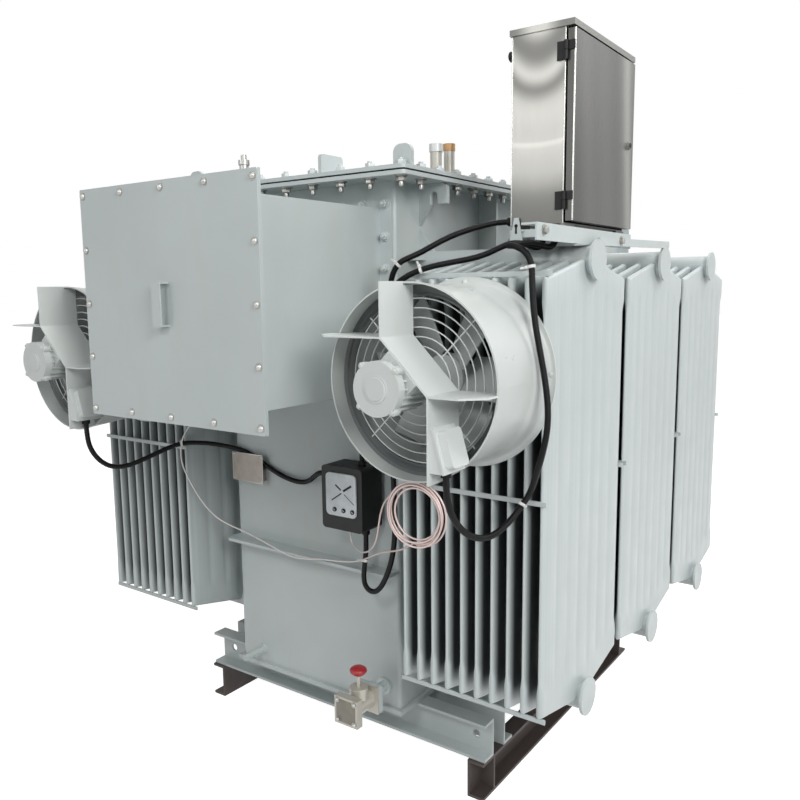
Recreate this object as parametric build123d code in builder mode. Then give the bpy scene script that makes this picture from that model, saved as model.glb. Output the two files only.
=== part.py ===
# Oil-filled power transformer with two cable boxes, six panel radiators and two cooling fans.
# Millimetres. The origin lies on the floor under the middle of the tank.
# X runs to the right, Y from the low-voltage end to the back, Z up.
from math import atan2, cos, pi, radians, sin, sqrt, tan
import os

from build123d import *

os.makedirs("parts", exist_ok=True)

# Fits
seat_gap = 0.3
pass_gap = 0.3
shaft_clearance = 0.1
full_turn = 360.0
half = 0.5
both_sides = (-1, 1)

# Tank
tank_width = 680.0
tank_length = 1380.0
tank_wall = 8.0
tank_wall_height = 1592.0
tank_corner_radius = 12.0
floor_thickness = 15.0
floor_rim = 12.0
rim_overhang = 106.0
rim_thickness = 11.0
gasket_thickness = 4.0
gasket_inset = 5.0
gasket_width = 70.0
cover_thickness = 11.0
cover_corner_radius = 14.0

# Lugs, hooks and stiffeners
lug_width = 60.0
lug_height = 58.0
lug_thickness = 12.0
lug_corner_radius = 22.0
lug_side_inset = 36.0
lug_edge_inset = 50.0
guide_lug_width = 98.0
guide_lug_side_station = 130.0
guide_lug_edge_inset = 81.0
hook_thickness = 16.0
hook_reach = 95.0
hook_finger_width = 31.0
hook_finger_height = 58.0
hook_slot_width = 26.0
hook_slot_top = 22.0
hook_root_height = 118.0
hook_corner_radius = 16.0
hook_end_inset = 130.0
rib_reach = 66.0
rib_thickness = 10.0
rib_station = 210.0
rib_length = 1500.0
shelf_height = 690.0
shelf_reach = 60.0
shelf_thickness = 10.0
shelf_corner_radius = 18.0

# Fittings on the cover and walls
fitting_side_inset = 54.0
filler_edge_inset = 241.0
fitting_spacing = 72.0
filler_diameter = 34.0
filler_height = 62.0
filler_cap_diameter = 40.0
filler_cap_height = 22.0
relief_flange_diameter = 60.0
relief_flange_thickness = 10.0
relief_diameter = 32.0
relief_height = 74.0
relief_knob_diameter = 36.0
relief_knob_height = 20.0
plate_width = 142.0
plate_height = 98.0
plate_thickness = 1.5
plate_stand_off = 22.0
plate_bracket_height = 40.0
plate_lip = 8.0
plate_side_inset = 78.0
plate_centre_height = 946.0
indicator_width = 150.0
indicator_height = 190.0
indicator_depth = 96.0
indicator_side_inset = 118.0
indicator_lift = 135.0
indicator_bracket_gap = 22.0
indicator_softening = 12.0
indicator_face_width = 112.0
indicator_face_height = 128.0
indicator_face_thickness = 5.0
indicator_face_lift = 12.0
sampler_side_inset = 100.0
sampler_height = 302.0
sampler_boss_diameter = 34.0
sampler_boss_length = 12.0
sampler_diameter = 22.0
sampler_length = 78.0
drain_side_inset = 55.0
drain_height = 320.0
drain_pipe_diameter = 34.0
drain_pipe_length = 60.0
drain_collar_diameter = 52.0
drain_flange_width = 84.0
drain_flange_thickness = 12.0
drain_body_diameter = 62.0
drain_body_length = 76.0
drain_bonnet_diameter = 54.0
drain_bonnet_height = 22.0
drain_stem_diameter = 12.0
drain_stem_height = 34.0
drain_knob_diameter = 52.0
drain_knob_height = 30.0
drain_knob_softening = 12.0

# Rolled channels under the tank
channel_height = 120.0
channel_flange = 55.0
channel_web = 7.0
channel_flange_thickness = 9.0
base_overhang = 250.0
under_beam_setback = 75.0
cross_pair_inset = 172.0
cross_pair_gap = 66.0
stiffener_thickness = 8.0
stiffener_inset = 70.0
hauling_hole_diameter = 26.0
hauling_hole_inset = 57.0
hauling_hole_height = 56.0

# Cable boxes
box_length = 532.0
box_width = 580.0
box_height = 520.0
box_wall = 4.0
box_frame_overlap = 50.0
box_frame_thickness = 6.0
box_cover_thickness = 5.0
box_tank_flange_overlap = 42.0
box_tank_flange_thickness = 6.0
box_tank_flange_rise = 24.0
box_drop = 50.0
handle_width = 32.0
handle_length = 112.0
handle_reach = 30.0
handle_thickness = 4.0
handle_rise_share = 0.49

# Radiators
panel_count = 10
panel_thickness = 18.0
panel_pitch = 45.7
panel_width = 520.0
panel_edge_inset = 45.0
radiator_wall_gap = 101.0
panel_edge_softening = 6.0
radiator_pitch = 559.5
radiator_count = 3
header_distance = 1200.0
header_diameter = 76.0
header_cap_diameter = 104.0
header_cap_thickness = 8.0
header_cap_reach = 14.0
header_bottom_height = 406.0
header_gusset_reach = 48.0
header_gusset_height = 64.0
header_gusset_thickness = 10.0
shoulder_flat_width = 90.0
shoulder_rise = 46.0
tie_height = 1013.0
tie_bar_height = 12.0
tie_bar_thickness = 5.0
tie_bar_overrun = 6.0
tie_edge_lift = 8.5
tie_edge_setback = 8.0

# Fans
fan_height = 1325.0
fan_mouth_diameter = 458.0
fan_throat_diameter = 424.0
fan_flange_diameter = 480.0
fan_depth = 267.0
fan_sheet = 4.0
fan_flare_length = 62.0
fan_flare_radius = 58.0
fan_flange_radius = 12.0
fan_flare_knee_share = 0.5
guard_inset = 46.0
guard_diameter = 386.0
guard_wire = 4.0
guard_ring_count = 6
guard_ring_pitch = 22.0
guard_spoke_count = 4
guard_spoke_start = 45.0
guard_rim_clearance = 0.3
impeller_diameter = 390.0
impeller_hub_diameter = 110.0
impeller_hub_length = 50.0
impeller_back_inset = 70.0
impeller_bore_diameter = 15.0
blade_count = 6
blade_root_bite = 4.0
blade_chord = 120.0
blade_thickness = 4.0
blade_root_angle = 42.0
blade_tip_angle = 28.0
motor_diameter = 122.0
motor_length = 150.0
motor_front_reach = 125.0
motor_core_diameter = 102.0
motor_fin_count = 20
motor_fin_thickness = 3.5
motor_fin_diameter = 116.0
motor_boss_diameter = 62.0
motor_boss_rise = 2.0
motor_shaft_height = 63.0
motor_shaft_diameter = 14.0
motor_foot_width = 100.0
motor_foot_thickness = 8.0
motor_foot_length = 80.0
motor_bell_length = 22.0
shaft_overrun = 6.0
bracket_strip_thickness = 4.0
bracket_strip_width = 127.0
bracket_front_reach = 88.0
bracket_bend_radius = 8.0
bracket_seat_length = 172.0
bracket_top_reach = 229.0
bracket_right_reach = 228.0
bracket_left_reach = 220.0
bracket_bottom_reach = 206.0
bracket_back_corner = 16.0
bracket_front_cut = 46.0
terminal_box_width = 80.0
terminal_box_height = 96.0
terminal_box_top_depth = 6.0
terminal_box_bottom_depth = 34.0
terminal_box_drop = 82.0
terminal_box_front_inset = 4.0
terminal_lid_lip = 3.0
terminal_lid_thickness = 6.0
terminal_cover_width = 66.0
terminal_cover_height = 84.0
terminal_cover_depth = 20.0
terminal_cover_softening = 9.0

# Control cabinet
cabinet_back_inset = 178.3
cabinet_depth = 146.0
cabinet_width = 418.0
cabinet_height = 466.0
cabinet_sheet = 3.0
cabinet_front_overhang = 107.5
roof_thickness = 15.0
roof_overhang = 5.0
roof_door_setback = 2.0
cabinet_foot_height = 10.0
cabinet_foot_length = 60.0
cabinet_foot_width = 12.0
door_thickness = 20.0
door_gap = 6.0
door_shut_gap = 5.0
hinge_diameter = 12.0
hinge_length = 44.0
hinge_inset_share = 0.12
hinge_leaf_thickness = 4.0
hinge_leaf_width = 18.0
hinge_pin_diameter = 6.0
hinge_side_gap = 0.6
hinge_axial_gap = 1.0
lock_diameter = 22.0
lock_reach = 8.0
bar_leg = 40.0
bar_thickness = 5.0
bar_front_overhang = 318.5
bar_back_overrun = 299.5
bar_outer_inset = 2.3
far_bar_overhang = 5.0
cross_bar_height = 20.0
ear_height = 70.0
ear_rise = 30.0
ear_width = 40.0
ear_top_width = 12.0
ear_thickness = 3.0
strap_height = 21.0
strap_lift = 36.0
strap_rise = 12.0
strap_overrun = 30.0
strap_corner_radius = 6.0

# Conduits and capillary
conduit_diameter = 16.0
conduit_gland_diameter = 24.0
conduit_gland_length = 14.0
conduit_lead = 26.0
capillary_diameter = 5.0
capillary_gland_diameter = 11.0
capillary_gland_length = 10.0
corner_share = 0.45
terminal_gland_inset = 17.0
indicator_side_gland_rise = 55.0
indicator_bottom_gland_offset = 52.0
indicator_top_gland_offset = 42.0
capillary_gland_offset = 7.0
gland_row_setback = 2.0
cabinet_side_gland_inset = 17.0
cabinet_side_gland_rise = 13.0
cabinet_gland_station = 32.0
right_conduit_lane = 33.0
upper_conduit_lane = 67.0
pocket_side_station = 300.0
pocket_drop = 53.5
coil_radius = 85.0
coil_band = 27.0
coil_thickness = 16.0
coil_setback = 18.8

# Levels and stations worked out from the sizes above
beam_top = channel_height
cross_top = beam_top + seat_gap + channel_height
floor_bottom = cross_top + seat_gap
floor_top = floor_bottom + floor_thickness
wall_bottom = floor_top + seat_gap
wall_top = wall_bottom + tank_wall_height
rim_top = wall_top
rim_bottom = rim_top - rim_thickness
gasket_bottom = rim_top + seat_gap
gasket_top = gasket_bottom + gasket_thickness
cover_bottom = gasket_top + seat_gap
cover_top = cover_bottom + cover_thickness
tank_half_width = half * tank_width
tank_half_length = half * tank_length
rim_half_width = tank_half_width + rim_overhang
rim_half_length = tank_half_length + rim_overhang
base_half_width = tank_half_width + base_overhang
base_width = 2 * base_half_width
under_beam_length = tank_length - 2 * under_beam_setback
panel_first_face = tank_half_width + radiator_wall_gap
lug_side_station = rim_half_width - lug_side_inset
fitting_side_station = rim_half_width - fitting_side_inset
plate_side_station = plate_side_inset - tank_half_width
indicator_side_station = tank_half_width - indicator_side_inset
sampler_side_station = sampler_side_inset - tank_half_width
drain_side_station = tank_half_width - drain_side_inset
header_top_height = header_bottom_height + header_distance
panel_span = (panel_count - 1) * panel_pitch + panel_thickness
panel_last_face = panel_first_face + panel_span
cap_inner_face = panel_last_face + header_cap_reach
cap_outer_face = cap_inner_face + header_cap_thickness
radiator_stations = [(i - half * (radiator_count - 1)) * radiator_pitch for i in range(radiator_count)]
panel_front = radiator_stations[0] - half * panel_width
fan_x = half * (panel_first_face + panel_last_face)
fan_back = panel_front - seat_gap
fan_mouth = fan_back - fan_depth
guard_inner_radius = half * guard_diameter - (guard_ring_count - 1) * guard_ring_pitch
shroud_taper = half * (fan_mouth_diameter - fan_throat_diameter) / (fan_depth - fan_flare_length)
guard_outer_radius = (
    half * fan_mouth_diameter
    - fan_sheet
    - shroud_taper * (guard_inset + guard_wire)
    - seat_gap
)
guard_spoke_length = guard_outer_radius - guard_inner_radius + guard_wire
guard_spoke_middle = guard_outer_radius + guard_inner_radius - guard_wire
box_cover_top = cover_top - box_drop
box_cover_height = box_height + 2 * box_frame_overlap
box_cover_width = box_width + 2 * box_frame_overlap
box_centre_height = box_cover_top - half * box_cover_height
box_face = tank_half_length + seat_gap
box_front = box_face + box_length
box_cover_face = box_front + seat_gap
lug_station = rim_half_length - lug_edge_inset
guide_lug_station = rim_half_length - guide_lug_edge_inset
filler_station = filler_edge_inset - rim_half_length
relief_station = filler_station + fitting_spacing
hook_station = tank_half_length - hook_end_inset
cross_pair_offset = tank_half_length - cross_pair_inset
indicator_centre_height = shelf_height + shelf_thickness + indicator_lift + half * indicator_height
cabinet_back = panel_last_face - cabinet_back_inset
cabinet_front = radiator_stations[0] - cabinet_front_overhang
bar_front = radiator_stations[0] - bar_front_overhang
bar_back = radiator_stations[0] + bar_back_overrun
bar_outer_face = panel_last_face - bar_outer_inset


def save(piece, node):
    piece.part.label = node
    export_step(piece.part, f"parts/{node}.step")


def channel_outline(mirrored):
    # Profile of a rolled channel: back at x = 0, flanges towards +x, bottom at y = 0.
    turn = -1 if mirrored else 1
    points = [
        (0, 0),
        (turn * channel_flange, 0),
        (turn * channel_flange, channel_flange_thickness),
        (turn * channel_web, channel_flange_thickness),
        (turn * channel_web, channel_height - channel_flange_thickness),
        (turn * channel_flange, channel_height - channel_flange_thickness),
        (turn * channel_flange, channel_height),
        (0, channel_height),
    ]
    return points


# Under-beams: two channels along Y, backs inwards, with end stiffeners
with BuildPart() as under_beams:
    for side in both_sides:
        back = side * (base_half_width - channel_flange)
        with BuildSketch(Plane.XZ.offset(-half * under_beam_length)):
            with BuildLine(Location((back, 0))):
                Polyline(*channel_outline(side < 0), close=True)
            make_face()
        extrude(amount=under_beam_length)
        for end in both_sides:
            station = end * (half * under_beam_length - stiffener_inset)
            web_side = back + side * channel_web
            tip = back + side * channel_flange
            with Locations((half * (web_side + tip), station, half * channel_height)):
                Box(
                    channel_flange - channel_web,
                    stiffener_thickness,
                    channel_height - 2 * channel_flange_thickness,
                )
save(under_beams, "under_beams")

# Cross channels: a pair under each end of the tank, back to back with a gap
with BuildPart() as cross_channels:
    for end in both_sides:
        for member in both_sides:
            back = end * cross_pair_offset + member * half * cross_pair_gap
            with BuildSketch(Plane.YZ.offset(-base_half_width)):
                with BuildLine(Location((back, beam_top + seat_gap))):
                    Polyline(*channel_outline(member < 0), close=True)
                make_face()
            extrude(amount=base_width)
    with BuildSketch(Plane.XZ.offset(-tank_length)):
        for side in both_sides:
            with Locations(
                (side * (base_half_width - hauling_hole_inset), beam_top + hauling_hole_height)
            ):
                Circle(half * hauling_hole_diameter)
    extrude(amount=2 * tank_length, mode=Mode.SUBTRACT)
save(cross_channels, "cross_channels")

# Tank shell
with BuildPart() as tank_floor:
    with BuildSketch(Plane.XY.offset(floor_bottom)):
        Rectangle(tank_width + 2 * floor_rim, tank_length + 2 * floor_rim)
    extrude(amount=floor_thickness)
save(tank_floor, "tank_floor")

with BuildPart() as tank_walls:
    with BuildSketch(Plane.XY.offset(wall_bottom)):
        RectangleRounded(tank_width, tank_length, tank_corner_radius)
        RectangleRounded(
            tank_width - 2 * tank_wall,
            tank_length - 2 * tank_wall,
            tank_corner_radius - tank_wall,
            mode=Mode.SUBTRACT,
        )
    extrude(amount=tank_wall_height)
save(tank_walls, "tank_walls")

with BuildPart() as tank_rim:
    with BuildSketch(Plane.XY.offset(rim_bottom)):
        RectangleRounded(2 * rim_half_width, 2 * rim_half_length, cover_corner_radius)
        RectangleRounded(
            tank_width + 2 * seat_gap,
            tank_length + 2 * seat_gap,
            tank_corner_radius + seat_gap,
            mode=Mode.SUBTRACT,
        )
    extrude(amount=rim_thickness)
save(tank_rim, "tank_rim")

with BuildPart() as cover_gasket:
    outer_width = 2 * (rim_half_width - gasket_inset)
    outer_length = 2 * (rim_half_length - gasket_inset)
    with BuildSketch(Plane.XY.offset(gasket_bottom)):
        Rectangle(outer_width, outer_length)
        Rectangle(
            outer_width - 2 * gasket_width, outer_length - 2 * gasket_width, mode=Mode.SUBTRACT
        )
    extrude(amount=gasket_thickness)
save(cover_gasket, "cover_gasket")

with BuildPart() as tank_cover:
    with BuildSketch(Plane.XY.offset(cover_bottom)):
        RectangleRounded(2 * rim_half_width, 2 * rim_half_length, cover_corner_radius)
    extrude(amount=cover_thickness)
save(tank_cover, "tank_cover")

# Lugs on the cover: plates across the tank at the corners, and two along it beside the front
with BuildPart() as cover_lugs:
    for end in both_sides:
        for side in both_sides:
            with BuildSketch(Plane.XZ.offset(-end * lug_station)):
                with Locations((side * lug_side_station, cover_top + seat_gap)):
                    Rectangle(lug_width, lug_height, align=(Align.CENTER, Align.MIN))
                corners = vertices().group_by(Axis.Y)[-1]
                fillet(corners, radius=lug_corner_radius)
            extrude(amount=half * lug_thickness, both=True)
        with BuildSketch(Plane.YZ.offset(guide_lug_side_station)):
            with Locations((end * guide_lug_station, cover_top + seat_gap)):
                Rectangle(guide_lug_width, lug_height, align=(Align.CENTER, Align.MIN))
            corners = vertices().group_by(Axis.Y)[-1]
            fillet(corners, radius=half * lug_corner_radius)
        extrude(amount=half * lug_thickness, both=True)
save(cover_lugs, "cover_lugs")

# Lifting hooks on the long walls: a root that tapers down the wall, a round-topped slot and a finger
with BuildPart() as lifting_hooks:
    hook_top = rim_bottom - seat_gap
    root = tank_half_width + seat_gap
    slot_outer = root + hook_reach - hook_finger_width
    slot_inner = slot_outer - hook_slot_width
    slot_radius = half * hook_slot_width
    for side in both_sides:
        for end in both_sides:
            with BuildSketch(Plane.XZ.offset(end * hook_station)):
                with BuildLine():
                    Polyline(
                        (side * root, hook_top - hook_root_height),
                        (side * slot_inner, hook_top - hook_finger_height),
                        (side * slot_inner, hook_top - hook_slot_top - slot_radius),
                    )
                    ThreePointArc(
                        (side * slot_inner, hook_top - hook_slot_top - slot_radius),
                        (side * (slot_inner + slot_radius), hook_top - hook_slot_top),
                        (side * slot_outer, hook_top - hook_slot_top - slot_radius),
                    )
                    Polyline(
                        (side * slot_outer, hook_top - hook_slot_top - slot_radius),
                        (side * slot_outer, hook_top - hook_finger_height),
                        (side * (root + hook_reach), hook_top - hook_finger_height),
                        (side * (root + hook_reach), hook_top),
                        (side * root, hook_top),
                        (side * root, hook_top - hook_root_height),
                    )
                make_face()
                outer_top = vertices().group_by(Axis.X)[-1 if side > 0 else 0].sort_by(Axis.Y)[-1]
                fillet(outer_top, radius=hook_corner_radius)
            extrude(amount=half * hook_thickness, both=True)
save(lifting_hooks, "lifting_hooks")

# Upright ribs on the long walls
with BuildPart() as wall_ribs:
    for side in both_sides:
        for end in both_sides:
            with Locations(
                (
                    side * (tank_half_width + seat_gap + half * rib_reach),
                    end * rib_station,
                    rim_bottom - seat_gap - half * rib_length,
                )
            ):
                Box(rib_reach, rib_thickness, rib_length)
save(wall_ribs, "wall_ribs")

# Flat stiffening shelf across each end wall
with BuildPart() as wall_shelves:
    for end in both_sides:
        with BuildSketch(Plane.XY.offset(shelf_height)):
            with Locations((0, end * (tank_half_length + seat_gap + half * shelf_reach))):
                Rectangle(tank_width, shelf_reach)
            fillet(
                vertices().group_by(Axis.Y)[-1 if end > 0 else 0],
                radius=shelf_corner_radius,
            )
        extrude(amount=shelf_thickness)
save(wall_shelves, "wall_shelves")


def cable_box(end):
    # Sheet box with a flange on the tank wall and a wider frame for its bolted cover.
    with BuildPart() as box:
        plane = Plane.XZ
        with BuildSketch(plane.offset(-end * box_face)):
            with Locations((0, box_centre_height)):
                Rectangle(box_width, box_height)
                Rectangle(box_width - 2 * box_wall, box_height - 2 * box_wall, mode=Mode.SUBTRACT)
        extrude(amount=-end * box_length)
        with BuildSketch(plane.offset(-end * box_face)):
            with Locations((0, box_centre_height)):
                Rectangle(
                    box_width + 2 * box_tank_flange_overlap, box_height + 2 * box_tank_flange_rise
                )
                Rectangle(box_width - 2 * box_wall, box_height - 2 * box_wall, mode=Mode.SUBTRACT)
        extrude(amount=-end * box_tank_flange_thickness)
        with BuildSketch(plane.offset(-end * (box_front - box_frame_thickness))):
            with Locations((0, box_centre_height)):
                Rectangle(box_cover_width, box_cover_height)
                Rectangle(box_width - 2 * box_wall, box_height - 2 * box_wall, mode=Mode.SUBTRACT)
        extrude(amount=-end * box_frame_thickness)
    return box


def box_cover(end):
    with BuildPart() as cover:
        with BuildSketch(Plane.XZ.offset(-end * box_cover_face)):
            with Locations((0, box_centre_height)):
                RectangleRounded(box_cover_width, box_cover_height, box_wall)
        extrude(amount=-end * box_cover_thickness)
    return cover


lv_box = cable_box(-1)
save(lv_box, "lv_box")

lv_cover = box_cover(-1)
save(lv_cover, "lv_cover")

hv_box = cable_box(1)
save(hv_box, "hv_box")

hv_cover = box_cover(1)
save(hv_cover, "hv_cover")

# Bent flat-bar handles on the two covers
with BuildPart() as cover_handles:
    outer_face = box_cover_face + box_cover_thickness + seat_gap
    handle_bottom = box_centre_height - handle_rise_share * handle_length
    for end in both_sides:
        with BuildSketch(Plane.YZ.offset(-half * handle_width)):
            with Locations((end * (outer_face + half * handle_reach), box_centre_height)):
                Rectangle(handle_reach, handle_length)
            with Locations(
                (
                    end * (outer_face + half * (handle_reach - handle_thickness)),
                    box_centre_height,
                )
            ):
                Rectangle(
                    handle_reach - handle_thickness,
                    handle_length - 2 * handle_thickness,
                    mode=Mode.SUBTRACT,
                )
        extrude(amount=handle_width)
save(cover_handles, "cover_handles")

# Small fittings on the cover near its right-hand edge
with BuildPart() as oil_filler:
    base = cover_top + seat_gap
    with Locations((fitting_side_station, filler_station, base)):
        Cylinder(half * filler_diameter, filler_height, align=(Align.CENTER, Align.CENTER, Align.MIN))
    with Locations((fitting_side_station, filler_station, base + filler_height)):
        Cylinder(
            half * filler_cap_diameter,
            filler_cap_height,
            align=(Align.CENTER, Align.CENTER, Align.MIN),
        )
save(oil_filler, "oil_filler")

with BuildPart() as relief_valve:
    base = cover_top + seat_gap
    with Locations((fitting_side_station, relief_station, base)):
        Cylinder(
            half * relief_flange_diameter,
            relief_flange_thickness,
            align=(Align.CENTER, Align.CENTER, Align.MIN),
        )
        Cylinder(half * relief_diameter, relief_height, align=(Align.CENTER, Align.CENTER, Align.MIN))
    with Locations((fitting_side_station, relief_station, base + relief_height)):
        Cylinder(
            half * relief_knob_diameter,
            relief_knob_height,
            align=(Align.CENTER, Align.CENTER, Align.MIN),
        )
save(relief_valve, "relief_valve")

# Nameplate on a lipped sheet bracket
with BuildPart() as nameplate:
    plate_face = -(tank_half_length + seat_gap)
    bracket_middle = plate_centre_height - half * (plate_height - plate_bracket_height) + plate_lip
    with Locations((plate_side_station, plate_face - half * plate_stand_off, bracket_middle)):
        Box(plate_width - 2 * plate_lip, plate_stand_off, plate_bracket_height)
    with Locations(
        (
            plate_side_station,
            plate_face - plate_stand_off - half * plate_thickness,
            plate_centre_height,
        )
    ):
        Box(plate_width, plate_thickness, plate_height)
save(nameplate, "nameplate")

# Oil temperature indicator: housing on a bracket, with a white face plate
with BuildPart() as indicator_box:
    wall_face = -(tank_half_length + seat_gap)
    housing_back = wall_face - indicator_bracket_gap
    with Locations(
        (
            indicator_side_station,
            housing_back - half * indicator_depth,
            indicator_centre_height,
        )
    ):
        Box(indicator_width, indicator_depth, indicator_height)
    fillet(edges().filter_by(Axis.Y), radius=indicator_softening)
    with Locations(
        (
            indicator_side_station,
            wall_face - half * indicator_bracket_gap,
            indicator_centre_height,
        )
    ):
        Box(half * indicator_width, indicator_bracket_gap, half * indicator_height)
save(indicator_box, "indicator_box")

with BuildPart() as indicator_face:
    face_back = tank_half_length + indicator_bracket_gap + indicator_depth + 2 * seat_gap
    with BuildSketch(Plane.XZ.offset(face_back)):
        with Locations((indicator_side_station, indicator_centre_height + indicator_face_lift)):
            RectangleRounded(indicator_face_width, indicator_face_height, indicator_softening)
    extrude(amount=indicator_face_thickness)
save(indicator_face, "indicator_face")

# Sampling stub low on the front wall
with BuildPart() as sampling_stub:
    with BuildSketch(Plane.XZ.offset(tank_half_length + seat_gap)):
        with Locations((sampler_side_station, sampler_height)):
            Circle(half * sampler_boss_diameter)
    extrude(amount=sampler_boss_length)
    with BuildSketch(Plane.XZ.offset(tank_half_length + seat_gap + sampler_boss_length)):
        with Locations((sampler_side_station, sampler_height)):
            Circle(half * sampler_diameter)
    extrude(amount=sampler_length)
save(sampling_stub, "sampling_stub")

# Drain valve: wall pipe with collar, flange pair, body, blind flange, bonnet and stem
with BuildPart() as drain_valve:
    station = tank_half_length + seat_gap
    with BuildSketch(Plane.XZ.offset(station)):
        with Locations((drain_side_station, drain_height)):
            Circle(half * drain_collar_diameter)
    extrude(amount=drain_flange_thickness)
    station += drain_flange_thickness
    with BuildSketch(Plane.XZ.offset(station)):
        with Locations((drain_side_station, drain_height)):
            Circle(half * drain_pipe_diameter)
    extrude(amount=drain_pipe_length)
    station += drain_pipe_length
    with BuildSketch(Plane.XZ.offset(station)):
        with Locations((drain_side_station, drain_height)):
            Rectangle(drain_flange_width, drain_flange_width)
    extrude(amount=2 * drain_flange_thickness)
    station += 2 * drain_flange_thickness
    with BuildSketch(Plane.XZ.offset(station)):
        with Locations((drain_side_station, drain_height)):
            Circle(half * drain_body_diameter)
    extrude(amount=drain_body_length)
    bonnet_station = station + half * drain_body_length
    station += drain_body_length
    with BuildSketch(Plane.XZ.offset(station)):
        with Locations((drain_side_station, drain_height)):
            Rectangle(drain_flange_width, drain_flange_width)
    extrude(amount=2 * drain_flange_thickness)
    with Locations((drain_side_station, -bonnet_station, drain_height)):
        Cylinder(
            half * drain_bonnet_diameter,
            half * drain_flange_width + half * drain_bonnet_height,
            align=(Align.CENTER, Align.CENTER, Align.MIN),
        )
        Cylinder(
            half * drain_stem_diameter,
            half * drain_flange_width + half * drain_bonnet_height + drain_stem_height,
            align=(Align.CENTER, Align.CENTER, Align.MIN),
        )
save(drain_valve, "drain_valve")

with BuildPart() as drain_knob:
    knob_base = (
        drain_height
        + half * drain_flange_width
        + half * drain_bonnet_height
        + drain_stem_height
        + seat_gap
    )
    with Locations((drain_side_station, -bonnet_station, knob_base)):
        Cylinder(
            half * drain_knob_diameter,
            drain_knob_height,
            align=(Align.CENTER, Align.CENTER, Align.MIN),
        )
    chamfer(edges().filter_by(GeomType.CIRCLE).group_by(Axis.Z)[-1], length=drain_knob_softening)
save(drain_knob, "drain_knob")


def radiator_panels(side):
    # One bank: every panel is a flat pressed plate whose shoulders rise to the header pipes.
    with BuildPart() as bank:
        edge_low = header_bottom_height + panel_edge_inset
        edge_high = header_top_height - panel_edge_inset
        for station in radiator_stations:
            for index in range(panel_count):
                face = panel_first_face + index * panel_pitch
                middle = side * (face + half * panel_thickness)
                with BuildSketch(Plane.YZ.offset(middle)):
                    with BuildLine():
                        Polyline(
                            (station - half * panel_width, edge_low),
                            (station - half * shoulder_flat_width, edge_low - shoulder_rise),
                            (station + half * shoulder_flat_width, edge_low - shoulder_rise),
                            (station + half * panel_width, edge_low),
                            (station + half * panel_width, edge_high),
                            (station + half * shoulder_flat_width, edge_high + shoulder_rise),
                            (station - half * shoulder_flat_width, edge_high + shoulder_rise),
                            (station - half * panel_width, edge_high),
                            close=True,
                        )
                    make_face()
                    with Locations((station, header_bottom_height), (station, header_top_height)):
                        Circle(half * header_diameter + pass_gap, mode=Mode.SUBTRACT)
                extrude(amount=half * panel_thickness, both=True)
        upright = edges().filter_by(Axis.Z)
        chamfer(upright, length=panel_edge_softening)
    return bank


radiator_panels_right = radiator_panels(1)
save(radiator_panels_right, "radiator_panels_right")

radiator_panels_left = radiator_panels(-1)
save(radiator_panels_left, "radiator_panels_left")


def radiator_headers(side):
    # Pipes from the tank wall through every panel, closed by a larger plate at the end.
    with BuildPart() as pipes:
        wall_face = tank_half_width + seat_gap
        for station in radiator_stations:
            for height in (header_bottom_height, header_top_height):
                with BuildSketch(Plane.YZ.offset(side * wall_face)):
                    with Locations((station, height)):
                        Circle(half * header_diameter)
                extrude(amount=side * (cap_inner_face - wall_face))
                with BuildSketch(Plane.YZ.offset(side * cap_inner_face)):
                    with Locations((station, height)):
                        Circle(half * header_cap_diameter)
                extrude(amount=side * header_cap_thickness)
            pipe_top = header_top_height + half * header_diameter
            with BuildSketch(Plane.XZ.offset(-station)):
                with BuildLine():
                    Polyline(
                        (side * wall_face, header_top_height),
                        (side * (wall_face + header_gusset_reach), header_top_height),
                        (side * (wall_face + header_gusset_reach), pipe_top),
                        (side * wall_face, pipe_top + header_gusset_height),
                        close=True,
                    )
                make_face()
            extrude(amount=half * header_gusset_thickness, both=True)
    return pipes


headers_right = radiator_headers(1)
save(headers_right, "headers_right")

headers_left = radiator_headers(-1)
save(headers_left, "headers_left")

# Tie bars across the panel edges at mid height, and at both shoulders of the first radiators
with BuildPart() as panel_ties:
    for side in both_sides:
        for station in radiator_stations:
            for edge in both_sides:
                bar_middle = station + edge * (
                    half * panel_width + seat_gap + half * tie_bar_thickness
                )
                with Locations(
                    (side * (panel_first_face + half * panel_span), bar_middle, tie_height)
                ):
                    Box(
                        panel_span + 2 * tie_bar_overrun, tie_bar_thickness, tie_bar_height
                    )
        for height in (
            header_top_height - panel_edge_inset + tie_edge_lift,
            header_bottom_height + panel_edge_inset - tie_edge_lift,
        ):
            with Locations(
                (side * (panel_first_face + half * panel_span), panel_front + tie_edge_setback, height)
            ):
                Box(panel_span + 2 * tie_bar_overrun, tie_bar_thickness, tie_bar_height)
save(panel_ties, "panel_ties")


def shroud_path():
    # Middle line of the sheet about the fan's own axis: x is the radius, y runs back from the mouth.
    mouth = half * (fan_mouth_diameter - fan_sheet)
    throat = half * (fan_throat_diameter - fan_sheet)
    rim = half * fan_flange_diameter
    back = fan_depth - half * fan_sheet
    knee = throat + fan_flare_knee_share * (rim - throat)
    return [(mouth, 0), (throat, fan_depth - fan_flare_length), (knee, back), (rim, back)]


with BuildPart() as fan_shrouds:
    for side in both_sides:
        section = Plane(
            origin=(side * fan_x, fan_mouth, fan_height), x_dir=(1, 0, 0), z_dir=(0, 0, 1)
        )
        with BuildSketch(section):
            with BuildLine():
                FilletPolyline(*shroud_path(), radius=[fan_flare_radius, fan_flange_radius])
            trace(line_width=fan_sheet)
        axis = Axis((side * fan_x, fan_mouth, fan_height), (0, 1, 0))
        revolve(axis=axis)
save(fan_shrouds, "fan_shrouds")

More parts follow.
